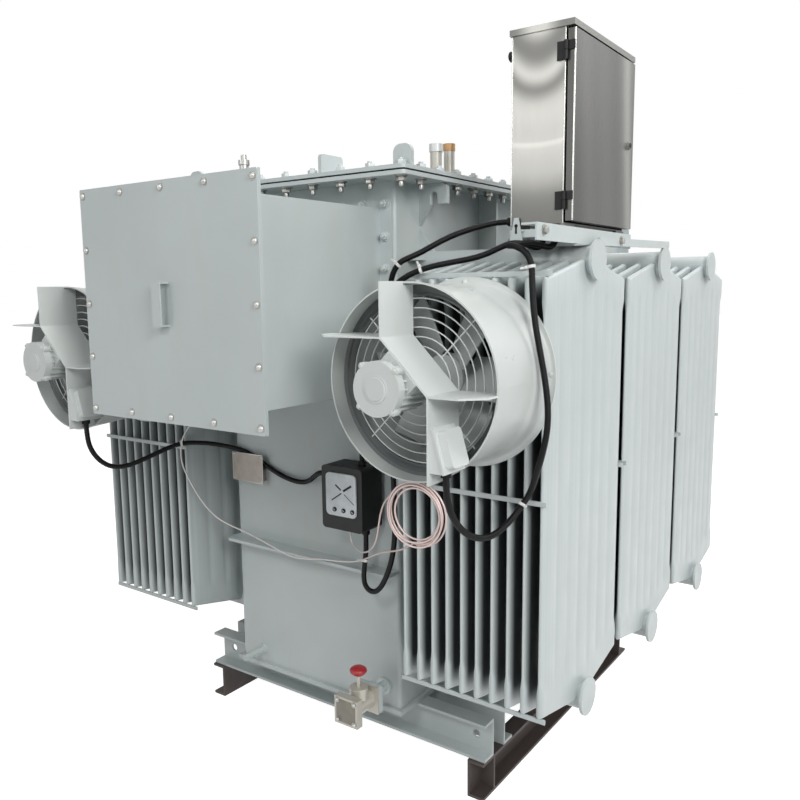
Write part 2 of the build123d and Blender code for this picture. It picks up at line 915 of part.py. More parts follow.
# Wire guards inside the mouths
with BuildPart() as fan_guards:
    for side in both_sides:
        guard_face = Plane.XZ.offset(-(fan_mouth + guard_inset))
        centre = (side * fan_x, fan_height)
        with BuildSketch(guard_face):
            for ring in range(guard_ring_count):
                radius = half * guard_diameter - ring * guard_ring_pitch
                with Locations(centre):
                    Circle(radius)
                    Circle(radius - guard_wire, mode=Mode.SUBTRACT)
            with Locations(centre):
                with PolarLocations(half * guard_spoke_middle, guard_spoke_count, guard_spoke_start):
                    Rectangle(guard_spoke_length, guard_wire)
        extrude(amount=-guard_wire)
save(fan_guards, "fan_guards")


def fan_plane(station):
    # Upright plane across a fan's axis; its normal points to the front.
    return Plane.XZ.offset(-station)


# Impellers: a hub on the motor shaft with twisted blades
def impeller(side):
    with BuildPart() as rotor:
        hub_back = fan_back - impeller_back_inset
        hub_front = hub_back - impeller_hub_length
        with BuildSketch(fan_plane(hub_back)):
            with Locations((side * fan_x, fan_height)):
                Circle(half * impeller_hub_diameter)
        extrude(amount=impeller_hub_length)
        hub_middle = half * (hub_back + hub_front)
        root = half * impeller_hub_diameter - blade_root_bite
        tip = half * impeller_diameter
        for index in range(blade_count):
            turn = index * full_turn / blade_count
            outward = (cos(radians(turn)), 0, sin(radians(turn)))
            for_blade = Vector(side * fan_x, hub_middle, fan_height)
            sections = []
            for radius, angle in ((root, blade_root_angle), (tip, blade_tip_angle)):
                around = Vector(-sin(radians(turn)), 0, cos(radians(turn)))
                along = around * cos(radians(angle)) + Vector(0, 1, 0) * sin(radians(angle))
                place = Plane(
                    origin=for_blade + Vector(*outward) * radius,
                    x_dir=along,
                    z_dir=outward,
                )
                with BuildSketch(place) as blade_section:
                    Rectangle(blade_chord, blade_thickness)
                sections.append(blade_section.sketch)
            loft(sections=[section.face() for section in sections])
        with BuildSketch(fan_plane(hub_back)):
            with Locations((side * fan_x, fan_height)):
                Circle(half * motor_shaft_diameter + shaft_clearance)
        extrude(amount=impeller_hub_length, mode=Mode.SUBTRACT)
    return rotor


fan_impeller_right = impeller(1)
save(fan_impeller_right, "fan_impeller_right")

fan_impeller_left = impeller(-1)
save(fan_impeller_left, "fan_impeller_left")

# Motor brackets: two bent strips that share a slanting seat plate in the middle
seat_line = motor_shaft_height + seat_gap + half * bracket_strip_thickness
seat_near = (seat_line - half * bracket_seat_length) / sqrt(2)
seat_far = (seat_line + half * bracket_seat_length) / sqrt(2)
bracket_front = fan_mouth - bracket_front_reach
bracket_mouth_radius = (
    half * fan_mouth_diameter
    - fan_sheet
    - shroud_taper * (bracket_strip_width - bracket_front_reach)
    - seat_gap
)


def bent_strip(centre, corner_points):
    # A flat strip bent along a line across the fan, as deep as the bracket.
    placed_points = [(centre[0] + u, centre[1] + w) for u, w in corner_points]
    with BuildPart() as strip:
        with BuildSketch(fan_plane(bracket_front)):
            with BuildLine():
                FilletPolyline(*placed_points, radius=bracket_bend_radius)
            trace(line_width=bracket_strip_thickness)
        extrude(amount=-bracket_strip_width)
        if corner_points[0][0] < seat_near:
            left_end = edges().filter_by(Axis.Z).group_by(Axis.X)[0].sort_by(Axis.Y)[0]
            chamfer(left_end, length=bracket_front_cut)
        else:
            top_end = edges().filter_by(Axis.X).group_by(Axis.Z)[-1].sort_by(Axis.Y)[-1]
            fillet(top_end, radius=bracket_back_corner)
            right_end = edges().filter_by(Axis.Z).group_by(Axis.X)[-1].sort_by(Axis.Y)[0]
            chamfer(right_end, length=bracket_front_cut)
    return strip


def motor_bracket(side):
    centre = (side * fan_x, fan_height)
    top_and_right = bent_strip(
        centre,
        [
            (seat_near, bracket_top_reach),
            (seat_near, seat_far),
            (seat_far, seat_near),
            (bracket_right_reach, seat_near),
        ],
    )
    left_and_bottom = bent_strip(
        centre,
        [
            (-bracket_left_reach, seat_far),
            (seat_near, seat_far),
            (seat_far, seat_near),
            (seat_far, -bracket_bottom_reach),
        ],
    )
    with BuildPart() as bracket:
        add(top_and_right.part)
        add(left_and_bottom.part)
        with BuildSketch(fan_plane(fan_mouth - seat_gap)):
            with Locations(centre):
                Circle(fan_flange_diameter)
                Circle(bracket_mouth_radius, mode=Mode.SUBTRACT)
        extrude(amount=-bracket_strip_width, mode=Mode.SUBTRACT)
    return bracket


brackets = [motor_bracket(side) for side in both_sides]
with BuildPart() as motor_brackets:
    for bracket in brackets:
        add(bracket.part)
save(motor_brackets, "motor_brackets")

# Fan motors: shaft, finned barrel between two end bells, and foot
with BuildPart() as fan_motors:
    motor_front = fan_mouth - motor_front_reach
    motor_back = motor_front + motor_length
    shaft_end = fan_back - impeller_back_inset + shaft_overrun
    fin_root = half * motor_core_diameter
    fin_depth = half * (motor_fin_diameter - motor_core_diameter)
    for side in both_sides:
        centre = (side * fan_x, fan_height)
        with BuildSketch(fan_plane(motor_back)):
            with Locations(centre):
                Circle(half * motor_core_diameter)
                with PolarLocations(fin_root + half * fin_depth, motor_fin_count):
                    Rectangle(fin_depth + motor_fin_thickness, motor_fin_thickness)
        extrude(amount=motor_length)
        with BuildSketch(fan_plane(motor_back)):
            with Locations(centre):
                Circle(half * motor_diameter)
        extrude(amount=motor_bell_length)
        with BuildSketch(fan_plane(motor_front + motor_bell_length)):
            with Locations(centre):
                Circle(half * motor_diameter)
        extrude(amount=motor_bell_length)
        with BuildSketch(fan_plane(motor_front)):
            with Locations(centre):
                Circle(half * motor_boss_diameter)
        extrude(amount=motor_boss_rise)
        with BuildSketch(fan_plane(shaft_end)):
            with Locations(centre):
                Circle(half * motor_shaft_diameter)
        extrude(amount=shaft_end - motor_back)
        seat = Plane(
            origin=(side * fan_x, half * (motor_front + motor_back), fan_height),
            x_dir=(0, 1, 0),
            z_dir=(1, 0, 1),
        )
        with BuildSketch(seat):
            Rectangle(motor_foot_length, motor_foot_width)
        extrude(amount=motor_shaft_height)
save(fan_motors, "fan_motors")

# Terminal boxes on the lower bracket arms: a wedge, a slanting lid and its raised cover
with BuildPart() as terminal_boxes:
    arm_face = seat_far + half * bracket_strip_thickness + seat_gap
    box_top = fan_height - terminal_box_drop
    box_bottom = box_top - terminal_box_height
    box_middle = bracket_front + terminal_box_front_inset + half * terminal_box_width
    lid_lean = atan2(terminal_box_bottom_depth - terminal_box_top_depth, terminal_box_height)
    for side in both_sides:
        box_face = side * fan_x + arm_face
        with BuildSketch(Plane.XZ.offset(-box_middle)):
            with BuildLine():
                Polyline(
                    (box_face, box_top),
                    (box_face + terminal_box_top_depth, box_top),
                    (box_face + terminal_box_bottom_depth, box_bottom),
                    (box_face, box_bottom),
                    close=True,
                )
            make_face()
        extrude(amount=half * terminal_box_width, both=True)
        lid_plane = Plane(
            origin=(
                box_face + half * (terminal_box_top_depth + terminal_box_bottom_depth),
                box_middle,
                half * (box_top + box_bottom),
            ),
            x_dir=(0, 1, 0),
            z_dir=(cos(lid_lean), 0, sin(lid_lean)),
        )
        with BuildSketch(lid_plane):
            Rectangle(
                terminal_box_width + 2 * terminal_lid_lip, terminal_box_height + 2 * terminal_lid_lip
            )
        extrude(amount=terminal_lid_thickness)
        with BuildSketch(lid_plane.offset(terminal_lid_thickness)):
            RectangleRounded(terminal_cover_width, terminal_cover_height, terminal_cover_softening)
        extrude(amount=terminal_cover_depth)
save(terminal_boxes, "terminal_boxes")

# Frame for the control cabinet: two angle bars on the first top header, cross bars, and an ear
bar_bottom = header_top_height + half * header_diameter + seat_gap
bar_top = bar_bottom + bar_leg
far_bar_face = cabinet_back
far_bar_front = cabinet_front - far_bar_overhang
with BuildPart() as cabinet_frame:
    for face, inward, front in ((bar_outer_face, -1, bar_front), (far_bar_face, 1, far_bar_front)):
        bar_length = bar_back - front
        bar_middle = half * (bar_back + front)
        with Locations((face + inward * half * bar_thickness, bar_middle, half * (bar_bottom + bar_top))):
            Box(bar_thickness, bar_length, bar_leg)
        with Locations((face + inward * half * bar_leg, bar_middle, bar_top - half * bar_thickness)):
            Box(bar_leg, bar_length, bar_thickness)
    for station in (cabinet_front + half * bar_thickness, bar_back - half * bar_thickness):
        with Locations(
            (half * (bar_outer_face + far_bar_face), station, bar_top - half * cross_bar_height)
        ):
            Box(bar_outer_face - far_bar_face, bar_thickness, cross_bar_height)
    with BuildSketch(Plane.XZ.offset(-far_bar_front)):
        with BuildLine(Location((far_bar_face, bar_top + ear_rise - ear_height))):
            Polyline(
                (0, 0),
                (ear_width, 0),
                (half * (ear_width + ear_top_width), ear_height),
                (half * (ear_width - ear_top_width), ear_height),
                close=True,
            )
        make_face()
    extrude(amount=ear_thickness)
save(cabinet_frame, "cabinet_frame")

# Strap in the plane of the caps, from the first top header's cap to the second's
with BuildPart() as header_strap:
    first = radiator_stations[0]
    second = radiator_stations[1]
    low = header_top_height + strap_lift
    with BuildSketch(Plane.YZ.offset(cap_inner_face)):
        with BuildLine():
            Polyline(
                (first, low),
                (second + strap_overrun, low + strap_rise),
                (second + strap_overrun, low + strap_rise + strap_height),
                (first, low + strap_height),
                close=True,
            )
        make_face()
        fillet(vertices().sort_by(Axis.X)[-2:], radius=strap_corner_radius)
        with Locations((first, header_top_height), (second, header_top_height)):
            Circle(half * header_cap_diameter + seat_gap, mode=Mode.SUBTRACT)
    extrude(amount=header_cap_thickness)
save(header_strap, "header_strap")

# Control cabinet: hollow body with a lip, and feet on the bars
body_bottom = bar_top + seat_gap + cabinet_foot_height
cabinet_side_middle = cabinet_back + half * cabinet_depth
cabinet_middle = cabinet_front + half * cabinet_width
cabinet_face = cabinet_back + cabinet_depth
with BuildPart() as cabinet_body:
    with BuildSketch(Plane.YZ.offset(cabinet_back)):
        with Locations((cabinet_middle, body_bottom + half * cabinet_height)):
            Rectangle(cabinet_width, cabinet_height)
    extrude(amount=cabinet_sheet)
    with BuildSketch(Plane.YZ.offset(cabinet_back)):
        with Locations((cabinet_middle, body_bottom + half * cabinet_height)):
            Rectangle(cabinet_width, cabinet_height)
            Rectangle(
                cabinet_width - 2 * cabinet_sheet,
                cabinet_height - 2 * cabinet_sheet,
                mode=Mode.SUBTRACT,
            )
    extrude(amount=cabinet_depth)
    roof_depth = cabinet_depth + door_shut_gap + door_thickness - roof_door_setback + roof_overhang
    with Locations((cabinet_back - roof_overhang, cabinet_middle, body_bottom + cabinet_height)):
        Box(
            roof_depth,
            cabinet_width + 2 * roof_overhang,
            roof_thickness,
            align=(Align.MIN, Align.CENTER, Align.MIN),
        )
    for edge in both_sides:
        foot = cabinet_middle + edge * half * (cabinet_width - cabinet_foot_length)
        for face in (far_bar_face + half * bar_leg, bar_outer_face - half * bar_leg - cabinet_foot_width):
            with Locations((face, foot, body_bottom - half * cabinet_foot_height)):
                Box(cabinet_foot_width, cabinet_foot_length, cabinet_foot_height)
save(cabinet_body, "cabinet_body")

with BuildPart() as cabinet_door:
    door_inner = cabinet_face + door_shut_gap
    with Locations(
        (
            door_inner + half * door_thickness,
            cabinet_middle,
            body_bottom + half * cabinet_height,
        )
    ):
        Box(door_thickness, cabinet_width, cabinet_height - 2 * door_gap)
    with BuildSketch(Plane.YZ.offset(door_inner + door_thickness)):
        with Locations(
            (cabinet_middle + half * cabinet_width - 2 * lock_diameter, body_bottom + half * cabinet_height)
        ):
            Circle(half * lock_diameter)
    extrude(amount=lock_reach)
save(cabinet_door, "cabinet_door")

# Hinges on the narrow side: a leaf, knuckle and pin on the body, a knuckle and leaf on the door
hinge_axis_side = cabinet_face + half * door_shut_gap
hinge_leaf_face = cabinet_front - seat_gap
hinge_axis_station = hinge_leaf_face - half * hinge_diameter
hinge_starts = [
    body_bottom + share * cabinet_height - half * hinge_length
    for share in (hinge_inset_share, 1 - hinge_inset_share)
]
knuckle_length = half * (hinge_length - hinge_axial_gap)
with BuildPart() as cabinet_hinges:
    for start in hinge_starts:
        with BuildSketch(Plane.XY.offset(start)):
            with Locations((hinge_axis_side - half * hinge_diameter - hinge_side_gap, hinge_leaf_face)):
                Rectangle(hinge_leaf_width, hinge_leaf_thickness, align=(Align.MAX, Align.MAX))
        extrude(amount=hinge_length)
        with BuildSketch(Plane.XY.offset(start)):
            with Locations((hinge_axis_side, hinge_axis_station)):
                Circle(half * hinge_diameter)
            with Locations((hinge_axis_side, hinge_leaf_face)):
                Rectangle(hinge_diameter, hinge_leaf_thickness, align=(Align.MAX, Align.MAX))
        extrude(amount=knuckle_length)
        with BuildSketch(Plane.XY.offset(start)):
            with Locations((hinge_axis_side, hinge_axis_station)):
                Circle(half * hinge_pin_diameter)
        extrude(amount=hinge_length)
save(cabinet_hinges, "cabinet_hinges")

with BuildPart() as door_hinges:
    for start in hinge_starts:
        with BuildSketch(Plane.XY.offset(start + hinge_length - knuckle_length)):
            with Locations((hinge_axis_side, hinge_axis_station)):
                Circle(half * hinge_diameter)
            with Locations((hinge_axis_side, hinge_leaf_face)):
                Rectangle(
                    half * door_shut_gap + door_thickness,
                    hinge_leaf_thickness,
                    align=(Align.MIN, Align.MAX),
                )
            with Locations((hinge_axis_side, hinge_axis_station)):
                Circle(half * hinge_pin_diameter + shaft_clearance, mode=Mode.SUBTRACT)
        extrude(amount=knuckle_length)
save(door_hinges, "door_hinges")


def tube(points, diameter):
    # Straight runs joined by tangent arcs, each as large as its two runs allow.
    spots = [Vector(*point) for point in points]
    runs = [after - before for before, after in zip(spots, spots[1:])]
    radii = []
    for before, after in zip(runs, runs[1:]):
        turn = radians(before.get_angle(after))
        radii.append(corner_share * min(before.length, after.length) / tan(half * turn))
    with BuildPart() as cord:
        with BuildLine() as route:
            FilletPolyline(*spots, radius=radii)
        with BuildSketch(Plane(origin=spots[0], z_dir=runs[0])):
            Circle(half * diameter)
        sweep(path=route.wires()[0])
    length = route.wires()[0].length
    filled = cord.part.volume / (length * pi * (half * diameter) ** 2)
    print(
        f"length {length:.0f}, runs {min(r.length for r in runs):.0f} to {max(r.length for r in runs):.0f},"
        f" tightest {min(radii):.0f}, volume ratio {filled:.4f}"
    )
    return cord


def gland(seat, outwards, diameter, length):
    with BuildPart() as nut:
        with BuildSketch(Plane(origin=seat, z_dir=outwards)):
            Circle(half * diameter)
        extrude(amount=length)
    return nut


def cord_end(seat, outwards, length):
    # Where a cord starts: just off the face of its gland.
    return tuple(s + o * (length + seat_gap) for s, o in zip(seat, outwards))


# Glands: each is a seat on a housing and the way it points
down = (0, 0, -1)
up = (0, 0, 1)
terminal_gland_x = seat_far + half * bracket_strip_thickness + seat_gap + terminal_gland_inset
gland_row = -(tank_half_length + seat_gap + indicator_bracket_gap + half * indicator_depth + gland_row_setback)
indicator_bottom = indicator_centre_height - half * indicator_height
indicator_top = indicator_centre_height + half * indicator_height
indicator_left_face = indicator_side_station - half * indicator_width
cabinet_gland_y = cabinet_front + cabinet_gland_station
pocket_height = box_centre_height - half * box_height - pocket_drop
left_terminal = ((terminal_gland_x - fan_x, box_middle, box_bottom - seat_gap), down)
right_terminal = ((terminal_gland_x + fan_x, box_middle, box_bottom - seat_gap), down)
indicator_left = (
    (indicator_left_face - seat_gap, gland_row, indicator_centre_height + indicator_side_gland_rise),
    (-1, 0, 0),
)
indicator_low = (
    (indicator_side_station + indicator_bottom_gland_offset, gland_row, indicator_bottom - seat_gap),
    down,
)
indicator_high = (
    (indicator_side_station + indicator_top_gland_offset, gland_row, indicator_top + seat_gap),
    up,
)
cabinet_left = (
    (
        cabinet_back - seat_gap,
        cabinet_front + cabinet_side_gland_inset,
        body_bottom + cabinet_side_gland_rise,
    ),
    (-1, 0, 0),
)
cabinet_under_right = (
    (cabinet_face - right_conduit_lane, cabinet_gland_y, body_bottom - seat_gap),
    down,
)
cabinet_under_left = (
    (cabinet_face - upper_conduit_lane, cabinet_gland_y, body_bottom - seat_gap),
    down,
)
capillary_low = (
    (indicator_side_station - capillary_gland_offset, gland_row, indicator_bottom - seat_gap),
    down,
)
pocket = ((-pocket_side_station, -(tank_half_length + seat_gap), pocket_height), (0, -1, 0))
conduit_seats = [
    left_terminal,
    right_terminal,
    indicator_left,
    indicator_low,
    indicator_high,
    cabinet_left,
    cabinet_under_right,
    cabinet_under_left,
]
with BuildPart() as conduit_glands:
    for seat, outwards in conduit_seats:
        add(gland(seat, outwards, conduit_gland_diameter, conduit_gland_length).part)
    for seat, outwards in (capillary_low, pocket):
        add(gland(seat, outwards, capillary_gland_diameter, capillary_gland_length).part)
save(conduit_glands, "conduit_glands")

# Conduit of the left fan: hangs from its terminal box, then along the wall to the indicator
left_fan_conduit = tube(
    [
        cord_end(*left_terminal, conduit_gland_length),
        (-529, -1131, 1098),
        (-528, -1124, 1054),
        (-521, -1101, 1013),
        (-511, -1067, 986),
        (-499, -1028, 980),
        (-487, -988, 988),
        (-474, -946, 1001),
        (-461, -903, 1016),
        (-447, -864, 1028),
        (-430, -831, 1033),
        (-409, -797, 1030),
        (-385, -761, 1024),
        (-360, -729, 1014),
        (-330, -707, 1006),
        (-292, -701, 999),
        (-250, -700, 986),
        (-208, -701, 969),
        (-165, -700, 950),
        (-120, -702, 935),
        (-74, -704, 926),
        (-28, -708, 925),
        (12, -715, 936),
        (50, -735, 958),
        (81, -752, 976),
        cord_end(*indicator_left, conduit_gland_length + conduit_lead),
        cord_end(*indicator_left, conduit_gland_length),
    ],
    conduit_diameter,
)
save(left_fan_conduit, "left_fan_conduit")

# Conduit of the right fan: a loop below its terminal box, then up past the shroud to the cabinet
right_fan_conduit = tube(
    [
        cord_end(*right_terminal, conduit_gland_length),
        (782, -1131, 1094),
        (784, -1117, 1050),
        (789, -1086, 1008),
        (796, -1044, 978),
        (803, -996, 963),
        (810, -948, 965),
        (817, -901, 982),
        (826, -862, 1008),
        (846, -846, 1048),
        (866, -858, 1098),
        (886, -868, 1152),
        (900, -874, 1212),
        (901, -877, 1270),
        (892, -877, 1330),
        (878, -874, 1390),
        (863, -869, 1448),
        (850, -857, 1504),
        (842, -846, 1550),
        (839, -842, 1583),
        (833, -843, 1606),
        (818, -845, 1624),
        (797, -843, 1634),
        (776, -832, 1637),
        (764, -813, 1637),
        (763, -788, 1639),
        (770, -758, 1643),
        (780, -728, 1646),
        (791, -699, 1642),
        (801, -673, 1637),
        (804, -653, 1641),
        (805, -640, 1652),
        (805, -635, 1666),
        cord_end(*cabinet_under_right, conduit_gland_length),
    ],
    conduit_diameter,
)
save(right_fan_conduit, "right_fan_conduit")

# Conduit under the indicator: a hanging loop, up beside the fan, over to the cabinet's side
indicator_conduit = tube(
    [
        cord_end(*indicator_low, conduit_gland_length),
        (274, -762, 785),
        (273, -765, 750),
        (271, -769, 718),
        (271, -773, 692),
        (278, -777, 670),
        (296, -780, 657),
        (318, -783, 658),
        (337, -786, 671),
        (353, -788, 692),
        (372, -791, 727),
        (390, -794, 772),
        (402, -797, 826),
        (407, -799, 885),
        (406, -801, 965),
        (403, -802, 1065),
        (401, -804, 1180),
        (397, -805, 1300),
        (397, -807, 1400),
        (403, -811, 1480),
        (415, -822, 1540),
        (431, -830, 1580),
        (450, -826, 1606),
        (471, -810, 1618),
        (491, -792, 1629),
        (513, -773, 1645),
        (537, -754, 1661),
        (565, -732, 1677),
        (595, -707, 1690),
        (618, -682, 1699),
        (636, -662, 1705),
        (655, -650, 1708),
        cord_end(*cabinet_left, conduit_gland_length),
    ],
    conduit_diameter,
)
save(indicator_conduit, "indicator_conduit")

# Conduit over the indicator: up behind the fan mouth, over the edge bar, to the cabinet's floor
upper_conduit = tube(
    [
        cord_end(*indicator_high, conduit_gland_length),
        (264, -762, 1068),
        (268, -768, 1104),
        (280, -774, 1146),
        (298, -783, 1195),
        (318, -792, 1250),
        (338, -802, 1312),
        (357, -815, 1376),
        (378, -827, 1436),
        (403, -838, 1488),
        (433, -845, 1532),
        (471, -845, 1563),
        (512, -834, 1582),
        (548, -820, 1593),
        (580, -804, 1600),
        (613, -787, 1606),
        (646, -770, 1613),
        (676, -754, 1624),
        (702, -741, 1638),
        (724, -727, 1648),
        (744, -709, 1648),
        (759, -687, 1642),
        (767, -668, 1637),
        (770, -651, 1641),
        (771, -640, 1652),
        (771, -635, 1666),
        cord_end(*cabinet_under_left, conduit_gland_length),
    ],
    conduit_diameter,
)
save(upper_conduit, "upper_conduit")

# Coil of spare capillary under the right-hand fan, and the capillary to it and back
coil_front = fan_mouth + coil_setback
coil_lip = half * fan_mouth_diameter - shroud_taper * coil_setback
coil_height = fan_height - coil_lip - seat_gap - coil_radius
coil_back = coil_front + coil_thickness
with BuildPart() as capillary_coil:
    with BuildSketch(fan_plane(coil_back)):
        with Locations((fan_x, coil_height)):
            Circle(coil_radius)
            Circle(coil_radius - coil_band, mode=Mode.SUBTRACT)
    extrude(amount=coil_thickness)
save(capillary_coil, "capillary_coil")

to_coil = tube(
    [
        cord_end(*pocket, capillary_gland_length),
        (-300, -724, 1190),
        (-316, -752, 1177),
        (-342, -781, 1157),
        (-371, -811, 1130),
        (-399, -837, 1095),
        (-417, -853, 1057),
        (-425, -858, 1014),
        (-428, -853, 968),
        (-424, -838, 924),
        (-414, -821, 880),
        (-399, -805, 837),
        (-376, -789, 797),
        (-346, -775, 769),
        (-307, -767, 754),
        (-261, -764, 745),
        (-211, -764, 737),
        (-160, -765, 726),
        (-108, -764, 713),
        (-58, -764, 700),
        (-10, -764, 693),
        (38, -765, 700),
        (88, -766, 710),
        (140, -767, 716),
        (190, -770, 722),
        (228, -777, 731),
        (262, -788, 743),
        (296, -803, 758),
        (332, -822, 778),
        (371, -845, 800),
        (415, -872, 823),
        (463, -901, 842),
        (511, -931, 862),
        (556, -961, 886),
        (593, -989, 909),
        (620, -1012, 926),
        (633, -1032, 938),
        (633, coil_back + seat_gap, 938),
    ],
    capillary_diameter,
)
from_coil = tube(
    [
        (600, coil_back + seat_gap, 1064),
        (600, -1033, 1064),
        (586, -1015, 1059),
        (556, -993, 1045),
        (518, -966, 1023),
        (480, -938, 997),
        (448, -912, 968),
        (423, -890, 934),
        (405, -874, 897),
        (389, -860, 860),
        (369, -845, 829),
        (342, -829, 803),
        (311, -812, 785),
        (281, -796, 776),
        (254, -783, 778),
        (235, -772, 781),
        (221, -765, 790),
        (215, -762, 806),
        cord_end(*capillary_low, capillary_gland_length),
    ],
    capillary_diameter,
)
with BuildPart() as capillary_tube:
    add(to_coil.part)
    add(from_coil.part)
save(capillary_tube, "capillary_tube")
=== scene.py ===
"""Dress of an oil-filled power transformer: two cable boxes, six panel radiators, two cooling fans
and a control cabinet. Metres. X runs to the right, Y from the low-voltage end to the back, Z up."""
from math import atan2, cos, pi, radians, sin, sqrt

import bmesh
import bpy
from mathutils import Matrix, Vector


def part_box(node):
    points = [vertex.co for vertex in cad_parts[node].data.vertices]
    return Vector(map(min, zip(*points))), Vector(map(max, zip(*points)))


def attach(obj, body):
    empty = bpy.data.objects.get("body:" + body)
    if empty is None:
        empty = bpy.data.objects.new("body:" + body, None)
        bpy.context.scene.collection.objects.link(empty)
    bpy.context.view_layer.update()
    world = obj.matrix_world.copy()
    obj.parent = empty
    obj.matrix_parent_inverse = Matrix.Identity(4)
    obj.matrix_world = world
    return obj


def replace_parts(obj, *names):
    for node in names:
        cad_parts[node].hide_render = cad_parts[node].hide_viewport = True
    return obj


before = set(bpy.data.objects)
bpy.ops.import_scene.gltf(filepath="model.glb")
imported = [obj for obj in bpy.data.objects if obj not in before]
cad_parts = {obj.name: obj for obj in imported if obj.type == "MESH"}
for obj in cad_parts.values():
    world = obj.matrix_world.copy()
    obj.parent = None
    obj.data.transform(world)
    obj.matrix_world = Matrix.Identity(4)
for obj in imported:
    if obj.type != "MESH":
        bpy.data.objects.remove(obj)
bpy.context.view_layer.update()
MAIN = "transformer"
SIDES = (1, -1)
SIDE_NAMES = {1: "right", -1: "left"}


# finishes
# the sockets of a Mix node that mixes two colours
MIX_SHARE, MIX_FIRST, MIX_SECOND, MIX_RESULT = 0, 6, 7, 2
# where a noise runs from its dark to its pale parts
NOISE_LOW, NOISE_HIGH = 0.3, 0.7
# noise scales, from slow shade changes to the grain of a sprayed coat
STREAKS, RIPPLES, CLOUDS, WAVES, DUST, SCRATCHES = 1.0, 2.2, 2.3, 6.0, 9.0, 9.0
SATIN, SPECKS, MOTTLE, SMUDGES, GRAIN, PEEL = 14.0, 35.0, 50.0, 60.0, 300.0, 420.0
# how deep the reliefs are, in metres
GRAIN_DEPTH, PEEL_DEPTH, STREAK_DEPTH, WAVE_DEPTH = 0.0003, 0.0004, 0.0008, 0.004
# how much darker the shaded parts of a colour are, and how dust warms it
ENAMEL_SHADE, GRAIN_SHADE = 0.92, 0.82
DUST_SHARES = (0.97, 0.95, 0.90)
# the smoothest and roughest parts of a surface, as shares of its roughness
SMOOTHER, ROUGHER = 0.85, 1.2


class Finish:
    """A node material that is wired up line by line."""

    def __init__(self, name, colour, roughness=0.4, metallic=0.0, **sockets):
        self.material = bpy.data.materials.new(name)
        self.material.use_nodes = True
        self.tree = self.material.node_tree
        self.shader = self.tree.nodes["Principled BSDF"]
        self.shader.inputs["Base Color"].default_value = (*colour, 1)
        self.shader.inputs["Roughness"].default_value = roughness
        self.shader.inputs["Metallic"].default_value = metallic
        for socket, value in sockets.items():
            self.shader.inputs[socket.replace("_", " ")].default_value = value
        self.place = self.tree.nodes.new("ShaderNodeTexCoord").outputs["Object"]
        self.height = None

    def node(self, kind, **values):
        made = self.tree.nodes.new(kind)
        for key, value in values.items():
            setattr(made, key, value)
        return made

    def link(self, start, end):
        self.tree.links.new(start, end)

    def stretched(self, scale):
        mapping = self.node("ShaderNodeMapping")
        mapping.inputs["Scale"].default_value = scale
        self.link(self.place, mapping.inputs["Vector"])
        return mapping.outputs["Vector"]

    def noise(self, scale, detail=3.0, stretch=None, roughness=0.5):
        made = self.node("ShaderNodeTexNoise")
        made.inputs["Scale"].default_value = scale
        made.inputs["Detail"].default_value = detail
        made.inputs["Roughness"].default_value = roughness
        self.link(self.stretched(stretch) if stretch else self.place, made.inputs["Vector"])
        return made.outputs["Fac"]

    def range(self, value, low, high, from_low=0.0, from_high=1.0):
        made = self.node("ShaderNodeMapRange")
        made.inputs["From Min"].default_value = from_low
        made.inputs["From Max"].default_value = from_high
        made.inputs["To Min"].default_value = low
        made.inputs["To Max"].default_value = high
        self.link(value, made.inputs["Value"])
        return made.outputs["Result"]

    def maths(self, kind, first, second=0.0):
        made = self.node("ShaderNodeMath", operation=kind)
        self.link(first, made.inputs[0])
        if isinstance(second, float):
            made.inputs[1].default_value = second
        else:
            self.link(second, made.inputs[1])
        return made.outputs[0]

    def level(self, axis):
        """How far along an axis a point of the piece lies."""
        split = self.node("ShaderNodeSeparateXYZ")
        self.link(self.place, split.inputs[0])
        return split.outputs[axis]

    def tint(self, value, colour, low=0.0, high=1.0):
        """Mixes a second colour into the base where the value runs from low to high."""
        mix = self.node("ShaderNodeMix", data_type="RGBA")
        base = self.shader.inputs["Base Color"]
        if base.is_linked:
            self.link(base.links[0].from_socket, mix.inputs[MIX_FIRST])
        else:
            mix.inputs[MIX_FIRST].default_value = base.default_value
        mix.inputs[MIX_SECOND].default_value = (*colour, 1)
        self.link(self.range(value, 0, 1, low, high), mix.inputs[MIX_SHARE])
        self.link(mix.outputs[MIX_RESULT], base)

    def gloss(self, value, low, high):
        """Lets the roughness follow a noise."""
        self.link(self.range(value, low, high, NOISE_LOW, NOISE_HIGH), self.shader.inputs["Roughness"])

    def bump(self, value, strength, distance):
        """Adds one more relief to those that the surface has."""
        made = self.node("ShaderNodeBump")
        made.inputs["Strength"].default_value = strength
        made.inputs["Distance"].default_value = distance
        self.link(value, made.inputs["Height"])
        if self.height:
            self.link(self.height, made.inputs["Normal"])
        self.height = made.outputs["Normal"]
        self.link(self.height, self.shader.inputs["Normal"])


def scaled(colour, share):
    return tuple(part * share for part in colour)


def enamel(name, colour, roughness=0.38, peel=0.12):
    """Sprayed enamel on steel: slow shade changes, faint dust and orange peel."""
    made = Finish(name, colour, roughness, IOR=1.5)
    dust = tuple(part * share for part, share in zip(colour, DUST_SHARES))
    made.tint(made.noise(CLOUDS, 4), scaled(colour, ENAMEL_SHADE), low=0.42, high=0.75)
    made.tint(made.noise(DUST, 6, stretch=(1, 1, 0.25), roughness=0.65), dust, low=0.50, high=0.80)
    made.gloss(made.noise(SATIN, 4), roughness - 0.07, roughness + 0.09)
    made.bump(made.noise(PEEL, 2), peel, PEEL_DEPTH)
    made.bump(made.noise(WAVES, 3), 0.10, WAVE_DEPTH)
    return made.material


